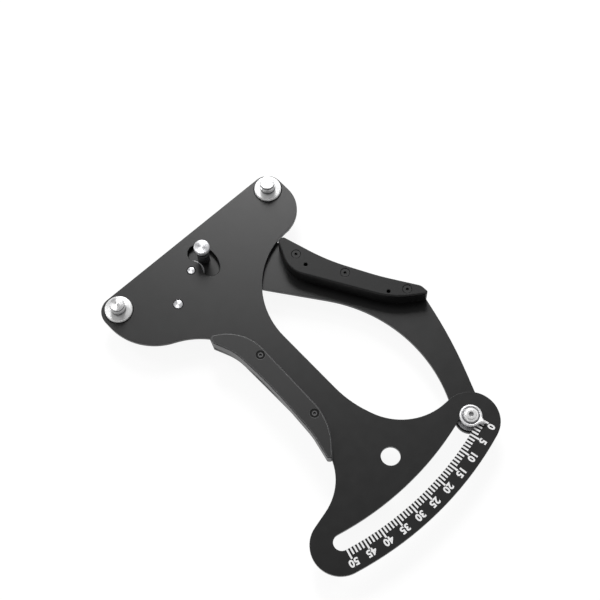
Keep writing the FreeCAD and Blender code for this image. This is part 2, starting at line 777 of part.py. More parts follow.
def make_post_screws(doc, size):
    """Screws that hold the posts from behind."""
    sites = [(-size.post_x, 0.0), (size.post_x, 0.0)]
    rear = make_button_screws(doc, size, "fixed_post_screws", sites, "small", "small_screw_length")
    flip(rear.body, 0.0, 0.0, -size.plate_thickness)
    label = "centre_post_screw"
    single = make_button_screws(doc, size, label, [(0.0, 0.0)], "small", "small_screw_length")
    x, y = size.point(size.centre_post_radius, size.centre_post_angle)
    flip(single.body, x, y, -size.total("plate_thickness + plate_gap + plate_thickness"))


def make_tube(doc, size, label, inner, outer, length, x, y, top):
    """Plain ring or sleeve whose upper face lies at the given height."""
    maker = Maker(doc, size, label)
    ring = maker.sketch()
    maker.circle(ring, outer)
    maker.circle(ring, inner)
    maker.pad(ring, length, down=True)
    return maker.place(x, y, top)


def make_pivot_pin(doc, size):
    """Pivot pin with the groove for its clip."""
    maker = Maker(doc, size, "pivot_pin")
    plates = "plate_thickness + plate_gap + plate_thickness"
    behind = plates + " + running_gap + collar_length + end_washer_thickness"
    minus = "0 - " + behind.replace("+", "-")
    groove = minus + " - clip_thickness - running_gap"
    maker.turn([
        ("0", "pivot_pin_front"),
        ("0", groove + " - pin_end"),
        ("pivot_pin_radius", groove + " - pin_end"),
        ("pivot_pin_radius", groove),
        ("clip_groove_radius", groove),
        ("clip_groove_radius", minus),
        ("pivot_pin_radius", minus),
        ("pivot_pin_radius", "pivot_pin_front"),
    ])
    ends = (size.pivot_pin_front, size.total(groove + " - pin_end"))

    def end_rims(edge):
        return any(rims_at(level, size.pivot_pin_radius)(edge) for level in ends)
    maker.dress("Fillet", maker.body.Tip, "pivot_pin_round", end_rims)
    return maker.place(size.pivot_x, size.pivot_y, 0.0)


def make_retaining_clip(doc, size):
    """Open clip in the groove of the pivot pin."""
    maker = Maker(doc, size, "retaining_clip")
    inner = size.total("clip_groove_radius + fit_gap")
    sketch = maker.sketch()
    draw_chain(sketch, rounded_chain([
        ("arc", (0.0, 0.0), size.clip_radius, -60.0, 240.0),
        ("arc", (0.0, 0.0), inner, 220.0, -40.0),
    ]))
    maker.pad(sketch, "clip_thickness", down=True)
    plates = "plate_thickness + plate_gap + plate_thickness + running_gap"
    rear = size.total(plates + " + collar_length + end_washer_thickness")
    return maker.place(size.pivot_x, size.pivot_y, -rear)


def make_pivot_stack(doc, size):
    """Washers, collar and clip on the pivot pin."""
    bore = "pivot_pin_radius + fit_gap"
    x = size.pivot_x
    y = size.pivot_y
    thin = "plate_gap - running_gap"
    front = -size.plate_thickness
    make_tube(doc, size, "pivot_washer", bore, "pivot_washer_radius", thin, x, y, front)
    collar = -size.total("plate_thickness + plate_gap + plate_thickness + running_gap")
    make_tube(doc, size, "spring_collar", bore, "collar_radius", "collar_length", x, y, collar)
    rear = collar - size.collar_length
    outer = "end_washer_radius"
    make_tube(doc, size, "end_washer", bore, outer, "end_washer_thickness", x, y, rear)
    make_retaining_clip(doc, size)


def make_anchor_pin(doc, size):
    """Pin in the body plate that holds the spring's fixed leg."""
    maker = Maker(doc, size, "anchor_pin")
    end = "0 - plate_thickness - anchor_length"
    shoulder = "0 - plate_thickness - anchor_shoulder_height"
    maker.turn([
        ("0", "anchor_front"),
        ("0", end),
        ("anchor_radius", end),
        ("anchor_radius", shoulder),
        ("anchor_shoulder_radius", shoulder),
        ("anchor_shoulder_radius", "0 - plate_thickness"),
        ("anchor_radius", "0 - plate_thickness"),
        ("anchor_radius", "anchor_front"),
    ])
    ends = (size.anchor_front, size.total(end))

    def end_rims(edge):
        return any(rims_at(level, size.anchor_radius)(edge) for level in ends)
    maker.dress("Fillet", maker.body.Tip, "pivot_pin_round", end_rims)
    return maker.place(size.anchor_x, size.anchor_y, 0.0)


def make_lever_pin(doc, size):
    """Headed pin in the lever plate for the spring's moving leg."""
    maker = Maker(doc, size, "lever_spring_pin")
    end = "0 - plate_thickness - lever_pin_length"
    maker.turn([
        ("0", "0"),
        ("0", end),
        ("lever_pin_head_radius", end),
        ("lever_pin_head_radius", end + " + lever_pin_head_height"),
        ("lever_pin_radius", end + " + lever_pin_head_height"),
        ("lever_pin_radius", "0"),
    ])
    x, y = size.point(size.lever_pin_distance, size.lever_pin_angle)
    return maker.place(x, y, -size.total("plate_thickness + plate_gap"))


def leg_heading(size, pin, pin_radius, side):
    """Direction of a spring leg that leaves the coil and rests on a pin."""
    pivot = (size.pivot_x, size.pivot_y)
    offset = size.coil_radius + size.wire_radius + pin_radius + size.fit_gap
    swing = math.degrees(math.asin(offset / distance(pivot, pin)))
    return heading(pivot, pin) - side * swing


def make_return_spring(doc, size):
    """Torsion spring: fixed leg, coil and moving leg as one swept wire."""
    anchor = (size.anchor_x, size.anchor_y)
    pin = size.point(size.lever_pin_distance, size.lever_pin_angle)
    fixed = leg_heading(size, anchor, size.anchor_radius, -1.0)
    moving = leg_heading(size, pin, size.lever_pin_radius, 1.0)
    start = fixed - 90.0
    sweep = (start - (moving + 90.0)) % 360.0 + 360.0 * size.coil_turns
    rise = size.coil_pitch * sweep / 360.0
    helix = Part.makeHelix(size.coil_pitch, rise, size.coil_radius, 0.0, True)
    helix.rotate(Vector(0, 0, 0), Vector(0, 0, 1), start)
    slope = size.coil_pitch / (2.0 * math.pi * size.coil_radius)
    coil_foot = polar((0.0, 0.0), size.coil_radius, start)
    coil_head = polar((0.0, 0.0), size.coil_radius, moving + 90.0)
    fixed_length = distance((size.pivot_x, size.pivot_y), anchor) + size.leg_overhang
    moving_length = size.lever_pin_distance + size.leg_overhang
    outer = polar(coil_foot, fixed_length, fixed)
    hook = polar(coil_head, moving_length, moving)
    foot = Vector(coil_foot[0], coil_foot[1], 0.0)
    far = Vector(outer[0], outer[1], -slope * fixed_length)
    head = Vector(coil_head[0], coil_head[1], rise)
    hooked = Vector(hook[0], hook[1], rise + slope * moving_length)
    path = Part.Wire([Part.makeLine(far, foot)] + helix.Edges + [Part.makeLine(head, hooked)])
    section = Part.Wire(Part.makeCircle(size.wire_radius, far, foot - far))
    sweep_shape = path.makePipeShell([section], True, True)
    spring = doc.addObject("Part::Feature", "return_spring")
    spring.Label = "return_spring"
    spring.Shape = sweep_shape
    back = size.total("plate_thickness + plate_gap + plate_thickness + spring_drop")
    spring.Placement = Placement(Vector(size.pivot_x, size.pivot_y, -back - rise), Rotation())
    return spring


def make_pointer_disc(doc, size):
    """Drop-shaped pointer; its tip points along the local +X axis."""
    maker = Maker(doc, size, "pointer_disc")
    reach = size.pointer_tip_reach
    radius = size.pointer_disc_radius
    side = touch_angle((reach, 0.0), (0.0, 0.0), radius, 1.0)
    outline = maker.sketch()
    draw_chain(outline, rounded_chain([
        ("arc", (0.0, 0.0), radius, side, 360.0 - side),
        (reach, 0.0, size.pointer_tip_radius),
    ]))
    maker.pad(outline, "pointer_disc_thickness")
    dish = maker.sketch("pointer_disc_thickness")
    maker.circle(dish, "pointer_dish_radius")
    maker.cut(dish, "pointer_dish_depth")
    bore = maker.sketch()
    maker.circle(bore, "pointer_thread_radius + fit_gap")
    maker.cut(bore)
    x, y = size.point(size.pointer_radius, size.pointer_angle)
    return maker.place(x, y, size.pointer_lift, size.pointer_angle)


def make_pointer_nut(doc, size):
    """Hexagon nut behind the lever plate."""
    maker = Maker(doc, size, "pointer_nut")
    outline = maker.sketch()
    maker.hexagon(outline, "nut_across")
    maker.circle(outline, "pointer_thread_radius + fit_gap")
    maker.pad(outline, "nut_height", down=True)
    x, y = size.point(size.pointer_radius, size.pointer_angle)
    rear = size.total("plate_thickness + plate_gap + plate_thickness")
    return maker.place(x, y, -rear, size.pointer_angle)


def make_pointer_stack(doc, size):
    """Pointer disc, bush, washer, screw and nut at the end of the lever."""
    x, y = size.point(size.pointer_radius, size.pointer_angle)
    bore = "pointer_thread_radius + fit_gap"
    washer = "plate_gap - running_gap"
    top = -size.total("plate_thickness + running_gap")
    make_tube(doc, size, "pointer_washer", bore, "pointer_washer_radius", washer, x, y, top)
    bush = "plate_thickness + running_gap + pointer_lift"
    lift = size.pointer_lift
    make_tube(doc, size, "pointer_bush", bore, "pointer_bush_radius", bush, x, y, lift)
    make_pointer_disc(doc, size)
    make_pointer_nut(doc, size)
    sites = [(0.0, 0.0)]
    length = "pointer_screw_length"
    maker = make_button_screws(doc, size, "pointer_screw", sites, "pointer", length)
    seat = size.total("pointer_lift + pointer_disc_thickness - pointer_dish_depth")
    maker.place(x, y, seat, size.pointer_angle)


def make_dowels(doc, size):
    """Dowel pins that locate the lever grip."""
    maker = Maker(doc, size, "lever_grip_dowels", many=True)
    sketch = maker.sketch()
    for centre in size.corners("dowel"):
        maker.circle(sketch, "dowel_radius", centre)
    maker.pad(sketch, "dowel_length", down=True)
    return maker.place(0.0, 0.0, size.total("grip_top - dowel_sink"))


def build(doc):
    """Make every sub-part of the meter."""
    size = Sizes(fill_sheet(doc))
    make_body_plate(doc, size)
    make_body_grip(doc, size)
    short = size.corners("body_screw")
    make_sunk_screws(doc, size, "body_grip_screws", short, "body_screw_length")
    make_fixed_post(doc, size, "fixed_post_left", -1.0)
    make_fixed_post(doc, size, "fixed_post_right", 1.0)
    make_post_screws(doc, size)
    make_pivot_pin(doc, size)
    make_pivot_stack(doc, size)
    make_anchor_pin(doc, size)
    make_return_spring(doc, size)
    make_lever_plate(doc, size)
    make_lever_grip(doc, size)
    long = size.corners("lever_screw")
    make_sunk_screws(doc, size, "lever_grip_screws", long, "lever_screw_length")
    make_dowels(doc, size)
    make_centre_post(doc, size)
    make_lever_pin(doc, size)
    make_pointer_stack(doc, size)


def export(doc):
    """Check every object, then write one STEP file for each sub-part."""
    for item in doc.Objects:
        broken = [word for word in item.State if word in ("Invalid", "Error")]
        if broken:
            raise RuntimeError("%s is not in order: %s" % (item.Label, broken))
    for item in doc.Objects:
        if item.TypeId not in ("PartDesign::Body", "Part::Feature"):
            continue
        shape = item.Shape
        if shape.isNull() or not shape.isValid() or not shape.Solids:
            raise RuntimeError("%s has no valid solid" % item.Label)
        shape.exportStep("parts/%s.step" % item.Label)
        box = shape.BoundBox
        print("%s: %d solid(s), %.1f mm3" % (item.Label, len(shape.Solids), shape.Volume))
        print("    x %.2f..%.2f y %.2f..%.2f z %.2f..%.2f" % (
            box.XMin, box.XMax, box.YMin, box.YMax, box.ZMin, box.ZMax))


os.makedirs("parts", exist_ok=True)
document = FreeCAD.newDocument("spoke_tension_meter")
build(document)
document.recompute()
export(document)
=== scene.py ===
import logging
import math
from dataclasses import dataclass
from enum import Enum

import bmesh
import bpy
from mathutils import Matrix, Vector


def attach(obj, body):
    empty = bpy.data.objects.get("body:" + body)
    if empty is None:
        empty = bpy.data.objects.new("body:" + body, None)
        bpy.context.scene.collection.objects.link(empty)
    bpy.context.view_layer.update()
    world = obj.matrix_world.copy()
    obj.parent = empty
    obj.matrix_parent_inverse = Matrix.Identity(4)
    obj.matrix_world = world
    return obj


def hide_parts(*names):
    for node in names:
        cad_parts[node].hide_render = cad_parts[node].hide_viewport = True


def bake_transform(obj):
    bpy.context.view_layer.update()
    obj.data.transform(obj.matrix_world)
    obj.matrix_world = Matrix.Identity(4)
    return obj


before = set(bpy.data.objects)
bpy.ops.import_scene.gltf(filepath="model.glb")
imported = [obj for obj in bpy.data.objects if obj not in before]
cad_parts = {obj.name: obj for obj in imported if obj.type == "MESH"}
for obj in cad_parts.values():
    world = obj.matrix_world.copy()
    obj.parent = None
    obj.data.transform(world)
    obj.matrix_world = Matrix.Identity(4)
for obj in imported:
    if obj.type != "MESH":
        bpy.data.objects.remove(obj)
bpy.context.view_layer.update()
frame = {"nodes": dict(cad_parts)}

LOG = logging.getLogger("tension_meter")

Colour = tuple[float, float, float]
Point = tuple[float, float, float]
Seat = tuple[float, float, float]
Socket = bpy.types.NodeSocket
Mesh = bmesh.types.BMesh

# Lengths are in metres, angles in degrees and scales of noise in features per metre. Places are
# in the frame of the solids.
POST_X = 0.053
POINTER_ANGLE = -72.4
UP: Point = (0.0, 0.0, 1.0)
WHITE: Colour = (1.0, 1.0, 1.0)
# Black of the shade painted into the gaps round seated pieces.
GAP_SHADE_BLACK: Colour = (0.001, 0.001, 0.001)
MERGE = 0.000001

# A Mix node keeps sockets of every type: these are its two colours and its mixed colour.
MIX_FIRST, MIX_SECOND, MIX_RESULT = 6, 7, 2


class Axis(Enum):
    """Turning axes of the round pieces, as x and y of the axis."""

    PIVOT = (-0.010, -0.0087)
    ANCHOR = (-0.0279, -0.0190)
    CENTRE_POST = (0.000489, -0.006585)
    POINTER = (0.040557, -0.168073)
    LEVER_PIN = (0.003435, -0.022135)
    FIXED_POSTS = (POST_X, 0.0)


PIVOT = Vector((*Axis.PIVOT.value, 0.0))

# x and y of each sunk or seated piece, and the radius that the black painted shade of its gap
# reaches.
BODY_SCREWS: tuple[Seat, ...] = ((-0.0166, -0.0723, 0.0025), (-0.0177, -0.1145, 0.0025))
LEVER_SCREWS: tuple[Seat, ...] = (
    (0.0357, -0.0422, 0.0026), (0.0473, -0.0680, 0.0026), (0.0646, -0.0972, 0.0026))
PLATE_SEATS: tuple[Seat, ...] = (
    (*Axis.PIVOT.value, 0.0025), (*Axis.ANCHOR.value, 0.0029),
    (POST_X, 0.0, 0.0078), (-POST_X, 0.0, 0.0078))


def around(centre: Vector, radius: float, degrees: float, height: float = 0.0) -> Vector:
    """Point on a circle about a vertical axis.

    Args:
        centre: a point of the axis.
        radius: distance from the axis.
        degrees: direction, anticlockwise from +X seen from the front.
        height: z of the point.

    Returns:
        The point.
    """
    turn = math.radians(degrees)
    return Vector((centre.x + radius * math.cos(turn), centre.y + radius * math.sin(turn), height))


def piece(name: str, mesh: Mesh, material: bpy.types.Material,
          smooth: bool = False) -> bpy.types.Object:
    """Make a finished piece of a bmesh, with its place in its mesh.

    Args:
        name: the piece's name.
        mesh: the shape, freed here.
        material: its finish.
        smooth: whether its faces are shaded smooth.

    Returns:
        The new object, at the origin.
    """
    bmesh.ops.recalc_face_normals(mesh, faces=mesh.faces[:])
    for face in mesh.faces:
        face.smooth = smooth
    data = bpy.data.meshes.new(name)
    mesh.to_mesh(data)
    mesh.free()
    data.materials.append(material)
    made = bpy.data.objects.new(name, data)
    bpy.context.scene.collection.objects.link(made)
    return made


class Surface:
    """Node tree of one finish around a Principled shader."""

    def __init__(self, name: str) -> None:
        """Start the material with its shader and its position socket.

        Args:
            name: the material's name.
        """
        self.material = bpy.data.materials.new(name)
        self.material.use_nodes = True
        self.tree = self.material.node_tree
        self.tree.nodes.clear()
        output = self.add("ShaderNodeOutputMaterial")
        self.shader = self.add("ShaderNodeBsdfPrincipled")
        self.join(self.shader.outputs["BSDF"], output.inputs["Surface"])
        self.position = self.add("ShaderNodeTexCoord").outputs["Object"]

    def add(self, kind: str, **settings: object) -> bpy.types.Node:
        """Add a node.

        Args:
            kind: the node's type name.
            settings: properties to set on it.

        Returns:
            The node.
        """
        node = self.tree.nodes.new(kind)
        for name, value in settings.items():
            setattr(node, name, value)
        return node

    def join(self, source: Socket, target: Socket) -> None:
        """Link an output to an input."""
        self.tree.links.new(source, target)

    def maths(self, operation: str, first: Socket | float, second: Socket | float = 0.0) -> Socket:
        """Work out a number from one or two others.

        Args:
            operation: a Math node's operation.
            first: its first input.
            second: its second input.

        Returns:
            The result's socket.
        """
        node = self.add("ShaderNodeMath", operation=operation)
        for slot, value in enumerate((first, second)):
            if isinstance(value, (int, float)):
                node.inputs[slot].default_value = value
            else:
                self.join(value, node.inputs[slot])
        return node.outputs["Value"]

    def cross(self, operation: str, first: Socket, second: Socket | Point) -> bpy.types.Node:
        """Add a Vector Math node.

        Args:
            operation: its operation.
            first: its first vector.
            second: its second vector.

        Returns:
            The node.
        """
        node = self.add("ShaderNodeVectorMath", operation=operation)
        self.join(first, node.inputs[0])
        if isinstance(second, tuple):
            node.inputs[1].default_value = second
        else:
            self.join(second, node.inputs[1])
        return node

    def length(self, vector: Socket) -> Socket:
        """Measure a vector.

        Args:
            vector: the vector.

        Returns:
            Its length.
        """
        node = self.add("ShaderNodeVectorMath", operation="LENGTH")
        self.join(vector, node.inputs[0])
        return node.outputs["Value"]

    def split(self) -> bpy.types.Node:
        """Take the position on the piece apart.

        Returns:
            A node with the outputs X, Y and Z.
        """
        node = self.add("ShaderNodeSeparateXYZ")
        self.join(self.position, node.inputs["Vector"])
        return node

    def upward(self) -> Socket:
        """How far the face looks up: 1 on a top, 0 on a wall, -1 on an underside."""
        own = self.add("ShaderNodeTexCoord").outputs["Normal"]
        return self.cross("DOT_PRODUCT", own, UP).outputs["Value"]

    def walls(self, upward: Socket) -> Socket:
        """Turn how far a face looks up into 1 on the walls and 0 on the tops."""
        return self.span(upward, 1.0, 0.0, start=0.1, end=0.5)

    def noise(self, scale: float, detail: float = 3.0, vector: Socket | None = None) -> Socket:
        """Add a noise.

        Args:
            scale: its features per metre.
            detail: its octaves.
            vector: where it is read; the object's own position if None.

        Returns:
            The noise's factor, about 0.5 in the middle.
        """
        node = self.add("ShaderNodeTexNoise")
        node.inputs["Scale"].default_value = scale
        node.inputs["Detail"].default_value = detail
        self.join(vector or self.position, node.inputs["Vector"])
        return node.outputs["Fac"]

    def span(self, factor: Socket, low: float, high: float,
             start: float = 0.3, end: float = 0.7) -> Socket:
        """Spread a factor between two values.

        Args:
            factor: the factor.
            low: value at its start.
            high: value at its end.
            start: factor that gives low.
            end: factor that gives high.

        Returns:
            The value's socket.
        """
        node = self.add("ShaderNodeMapRange")
        self.join(factor, node.inputs["Value"])
        limits = {"From Min": start, "From Max": end, "To Min": low, "To Max": high}
        for name, value in limits.items():
            node.inputs[name].default_value = value
        return node.outputs["Result"]

    def vary(self, factor: Socket, value: float, less: float, more: float) -> Socket:
        """Spread a factor from less than a value to more than it."""
        return self.span(factor, value - less, value + more)

    def blend(self, factor: Socket, first: Colour | Socket, second: Colour) -> Socket:
        """Mix two colours.

        Args:
            factor: 0 for the first, 1 for the second.
            first: a colour or a colour socket.
            second: a colour.

        Returns:
            The colour's socket.
        """
        node = self.add("ShaderNodeMix", data_type="RGBA")
        self.join(factor, node.inputs["Factor"])
        if isinstance(first, tuple):
            node.inputs[MIX_FIRST].default_value = (*first, 1.0)
        else:
            self.join(first, node.inputs[MIX_FIRST])
        node.inputs[MIX_SECOND].default_value = (*second, 1.0)
        return node.outputs[MIX_RESULT]

    def rounded(self, radius: float) -> Socket:
        """Turn the normal over sharp edges, as a broken edge does.

        Args:
            radius: how far the edge is broken.

        Returns:
            The new normal.
        """
        node = self.add("ShaderNodeBevel", samples=4)
        node.inputs["Radius"].default_value = radius
        return node.outputs["Normal"]

    def edges(self, normal: Socket) -> Socket:
        """Find the edges, where a rounded normal leaves the face's own.

        Args:
            normal: the rounded normal.

        Returns:
            1 on the edges, 0 on the faces.
        """
        own = self.add("ShaderNodeNewGeometry").outputs["Normal"]
        same = self.cross("DOT_PRODUCT", normal, own).outputs["Value"]
        return self.span(same, 1.0, 0.0, start=0.80, end=0.995)

    def seats(self, places: tuple[Seat, ...]) -> Socket:
        """Find the rings round pressed-in or sunk pieces where black shade is painted into the
        gaps.

        Args:
            places: x and y of each piece's axis, and the radius that its gap reaches.

        Returns:
            1 inside those radii, 0 outside.
        """
        gap: Socket | float = 0.0
        for x, y, reach in places:
            apart = self.cross("SUBTRACT", self.position, (x, y, 0.0)).outputs["Vector"]
            away = self.length(self.cross("MULTIPLY", apart, (1.0, 1.0, 0.0)).outputs["Vector"])
            near = self.span(away, 1.0, 0.0, start=reach - 0.0001, end=reach + 0.0002)
            gap = self.maths("MAXIMUM", near, gap)
        return gap

    def darken(self, gap: Socket, base: Socket, rough: Socket) -> tuple[Socket, Socket]:
        """Paint black shade into gaps and make them rough.

        Args:
            gap: where the gaps are.
            base: the colour round them.
            rough: the roughness round them.

        Returns:
            The new colour and the new roughness.
        """
        return self.blend(gap, base, GAP_SHADE_BLACK), self.maths("MAXIMUM", rough, gap)

    def bump(self, height: Socket, depth: float, normal: Socket | None = None) -> Socket:
        """Turn a height into a normal.

        Args:
            height: the height's factor.
            depth: metres for a factor of 1.
            normal: the normal under it, if not the surface's own.

        Returns:
            The new normal.
        """
        node = self.add("ShaderNodeBump")
        node.inputs["Distance"].default_value = depth
        node.inputs["Strength"].default_value = 1.0
        self.join(height, node.inputs["Height"])
        if normal is not None:
            self.join(normal, node.inputs["Normal"])
        return node.outputs["Normal"]

    def set(self, **values: float | tuple[float, ...]) -> None:
        """Set constants on the shader's own sockets, with _ for a space."""
        for name, value in values.items():
            self.shader.inputs[name.replace("_", " ")].default_value = value

    def wire(self, name: str, source: Socket) -> None:
        """Feed one of the shader's inputs."""
        self.join(source, self.shader.inputs[name])


@dataclass(frozen=True)
class Anodised:
    """Dyed oxide on a blasted aluminium plate."""

    name: str
    colour: Colour
    cloud: Colour
    edge: Colour
    roughness: float
    seats: tuple[Seat, ...] = ()
    gloss: float = 0.42
    grain: float = 0.00022
    cloud_scale: float = 45.0
    handling_scale: float = 170.0
    handling_share: float = 0.5
    broken_edge: float = 0.00035
    relief: float = 0.0000045
    seat_floor: float = -0.0014
    seat_top: float = -0.0010

    def material(self) -> bpy.types.Material:
        """Mix fine blasted grain, faint clouds of dye, paler broken edges and black painted shade
        round the seats.

        Returns:
            The finish.
        """
        surface = Surface(self.name)
        clouds = surface.noise(self.cloud_scale, detail=5.0)
        grain = surface.noise(1.0 / self.grain, detail=2.0)
        handling = surface.noise(self.handling_scale, detail=6.0)
        normal = surface.rounded(self.broken_edge)
        base = surface.blend(surface.span(clouds, 0.0, 1.0), self.colour, self.cloud)
        worn = surface.maths("MULTIPLY", surface.edges(normal), surface.span(handling, 0.35, 0.9))
        base = surface.blend(worn, base, self.edge)
        rough = surface.vary(handling, self.roughness, less=0.02, more=0.02)
        # Painted shade: black rings on the front round the seated pins and posts, for their
        # contact shadow and gaps.
        if self.seats:
            height = surface.split().outputs["Z"]
            front = surface.span(height, 0.0, 1.0, start=self.seat_floor, end=self.seat_top)
            gap = surface.maths("MULTIPLY", surface.seats(self.seats), front)
            base, rough = surface.darken(gap, base, rough)
        surface.wire("Base Color", base)
        surface.wire("Roughness", rough)
        worked = surface.maths("MULTIPLY", handling, self.handling_share)
        relief = surface.maths("ADD", grain, worked)
        surface.wire("Normal", surface.bump(relief, self.relief, normal))
        surface.set(Metallic=0.0, IOR=1.5, Specular_IOR_Level=self.gloss)
        return surface.material


@dataclass(frozen=True)
class Moulded:
    """Fine-textured black grip moulding."""

    name: str
    # Colour of the painted highlight along the edges.
    edge: Colour
    # Colour of the walls: painted sheen where lighter, painted shade where darker.
    wall: Colour
    gloss: float
    seats: tuple[Seat, ...]
    colour: Colour = (0.0075, 0.0075, 0.0077)
    cloud: Colour = (0.0095, 0.0095, 0.0097)
    roughness: float = 0.44
    pit_scale: float = 2600.0
    fine_scale: float = 5200.0
    cloud_scale: float = 60.0
    edge_radius: float = 0.0006
    relief: float = 0.000011

    def material(self) -> bpy.types.Material:
        """Mix a spark-eroded mould texture, painted light on walls and edges, and painted shade in
        screw gaps.

        Returns:
            The finish.
        """
        surface = Surface(self.name)
        pits = surface.add("ShaderNodeTexVoronoi", feature="SMOOTH_F1")
        pits.inputs["Scale"].default_value = self.pit_scale
        surface.join(surface.position, pits.inputs["Vector"])
        fine = surface.noise(self.fine_scale, detail=2.0)
        clouds = surface.noise(self.cloud_scale, detail=5.0)
        normal = surface.rounded(self.edge_radius)
        base = surface.blend(surface.span(clouds, 0.0, 1.0), self.colour, self.cloud)
        # Painted light: the walls take their own lighter or darker colour.
        base = surface.blend(surface.walls(surface.upward()), base, self.wall)
        # Painted highlight: a paler line along the edges, in patches.
        edge_highlight = surface.maths("MULTIPLY", surface.edges(normal), surface.span(clouds, 0.85, 1.0))
        base = surface.blend(edge_highlight, base, self.edge)
        rough = surface.vary(fine, self.roughness, less=0.06, more=0.06)
        # Painted shade: black rings in the gaps round the screws.
        base, rough = surface.darken(surface.seats(self.seats), base, rough)
        surface.wire("Base Color", base)
        surface.wire("Roughness", rough)
        relief = surface.maths("ADD", pits.outputs["Distance"], fine)
        surface.wire("Normal", surface.bump(relief, self.relief, normal))
        surface.set(Metallic=0.0, IOR=1.48, Specular_IOR_Level=self.gloss)
        return surface.material


@dataclass(frozen=True)
class Turned:
    """Steel with the fine rings of a lathe tool about an axis.

    In its middle it can be darker: painted shade in a screw's socket, and a darker dish on the
    pointer.
    Below a set height it can take painted shade, its walls take a darker colour as painted shade,
    and outside its flange radius it is painted paler, up to a painted highlight on the rim. A zone
    that is
    None isn't there.
    """

    name: str
    axis: Axis
    colour: Colour = (0.78, 0.78, 0.79)
    shade: Colour = (0.46, 0.46, 0.48)
    roughness: float = 0.29
    anisotropy: float = 0.95
    metal: float = 0.68
    pitch: float = 0.00034
    depth: float = 0.0000008
    edge: float = 0.00030
    # Darker colour of the walls: painted shade.
    side: Colour = (0.62, 0.62, 0.63)
    # Inside this radius it is darker: painted shade for a screw's socket.
    dull_radius: float | None = None
    dull: Colour = (0.30, 0.30, 0.31)
    # Below this height it is dark: painted shade.
    dark_below: float | None = None
    dark: Colour = (0.04, 0.04, 0.042)
    # Outside this radius the flange is painted paler as painted light; the rim is a painted
    # highlight.
    flange_radius: float | None = None
    flange_roughness: float = 0.37
    flange_metal: float = 0.42
    flange_white: float = 0.55
    rim_radius: float = 0.0069
    broad_share: float = 0.22
    broad_depth: float = 1.5
    stain_scale: float = 900.0
    fade: float = 0.0002

    def from_axis(self, surface: Surface, apart: bpy.types.Node) -> Socket:
        """Find the way from the axis.

        Args:
            surface: the finish in the making.
            apart: its position, taken apart.

        Returns:
            The level vector from the axis, or from the nearer one of two mirrored axes.
        """
        x, y = self.axis.value
        across: Socket | float = x
        if self.axis is Axis.FIXED_POSTS:
            across = surface.maths("MULTIPLY", surface.maths("SIGN", apart.outputs["X"]), x)
        flat = surface.add("ShaderNodeCombineXYZ")
        surface.join(surface.maths("SUBTRACT", apart.outputs["X"], across), flat.inputs["X"])
        surface.join(surface.maths("SUBTRACT", apart.outputs["Y"], y), flat.inputs["Y"])
        return flat.outputs["Vector"]

    def tone(self, surface: Surface, rings: Socket, broad: Socket) -> Socket:
        """Colour the rings, a few stains and, as painted shade, the walls.

        Args:
            surface: the finish in the making.
            rings: the fine rings.
            broad: the broad rings.

        Returns:
            The colour.
        """
        fine = surface.span(rings, 0.0, 0.3)
        tone = surface.maths("ADD", fine, surface.span(broad, 0.0, 0.7, start=0.4, end=0.6))
        base = surface.blend(tone, self.colour, self.shade)
        stain = surface.noise(self.stain_scale, detail=4.0)
        spots = surface.span(stain, 0.0, 0.5, start=0.58, end=0.75)
        base = surface.blend(spots, base, self.shade)
        # Painted shade: the walls take a darker colour.
        wall = surface.walls(surface.maths("ABSOLUTE", surface.upward()))
        return surface.blend(wall, base, self.side)

    def zones(self, surface: Surface, base: Socket, radius: Socket, height: Socket) -> Socket:
        """Lay the painted light of the flange and the painted highlight of its rim, the darker
        middle and the painted shade of the foot over the colour.

        Args:
            surface: the finish in the making.
            base: the colour so far.
            radius: distance from the axis.
            height: z on the piece.

        Returns:
            The colour with its zones.
        """
        # Painted light: the flange paler, and a white painted highlight on its rim.
        if self.flange_radius is not None:
            rim_highlight = surface.span(
                radius, 0.0, 1.0,
                start=self.rim_radius - self.fade / 2.0, end=self.rim_radius + self.fade / 2.0)
            face = surface.span(
                radius, 0.0, self.flange_white,
                start=self.flange_radius, end=self.flange_radius + self.fade)
            base = surface.blend(surface.maths("MAXIMUM", face, rim_highlight), base, WHITE)
        # A darker middle: painted shade in a screw's socket.
        if self.dull_radius is not None:
            inside = surface.span(
                radius, 1.0, 0.0, start=self.dull_radius - self.fade, end=self.dull_radius)
            base = surface.blend(inside, base, self.dull)
        # Painted shade below a height.
        if self.dark_below is not None:
            below = surface.span(
                height, 1.0, 0.0,
                start=self.dark_below - self.fade, end=self.dark_below + self.fade)
            base = surface.blend(below, base, self.dark)
        return base

    def polish(self, surface: Surface, rings: Socket, radius: Socket) -> None:
        """Set roughness and metal, both softer on a flange.

        Args:
            surface: the finish in the making.
            rings: the fine rings.
            radius: distance from the axis.
        """
        rough = surface.vary(rings, self.roughness, less=0.05, more=0.07)
        surface.set(Metallic=self.metal)
        if self.flange_radius is not None:
            limits = {"start": self.flange_radius, "end": self.flange_radius + self.fade}
            flange = surface.span(radius, 0.0, self.flange_roughness, **limits)
            rough = surface.maths("MAXIMUM", rough, flange)
            surface.wire("Metallic", surface.span(radius, self.metal, self.flange_metal, **limits))
        surface.wire("Roughness", rough)

    def brush(self, surface: Surface, flat: Socket) -> None:
        """Let the grain run round the axis.

        Args:
            surface: the finish in the making.
            flat: the way from the axis.
        """
        tangent = surface.cross("CROSS_PRODUCT", flat, UP).outputs["Vector"]
        place = surface.add(
            "ShaderNodeVectorTransform", vector_type="VECTOR",
            convert_from="OBJECT", convert_to="WORLD")
        surface.join(tangent, place.inputs["Vector"])
        surface.wire("Tangent", place.outputs["Vector"])
        surface.set(Anisotropic=self.anisotropy, Anisotropic_Rotation=0.25)

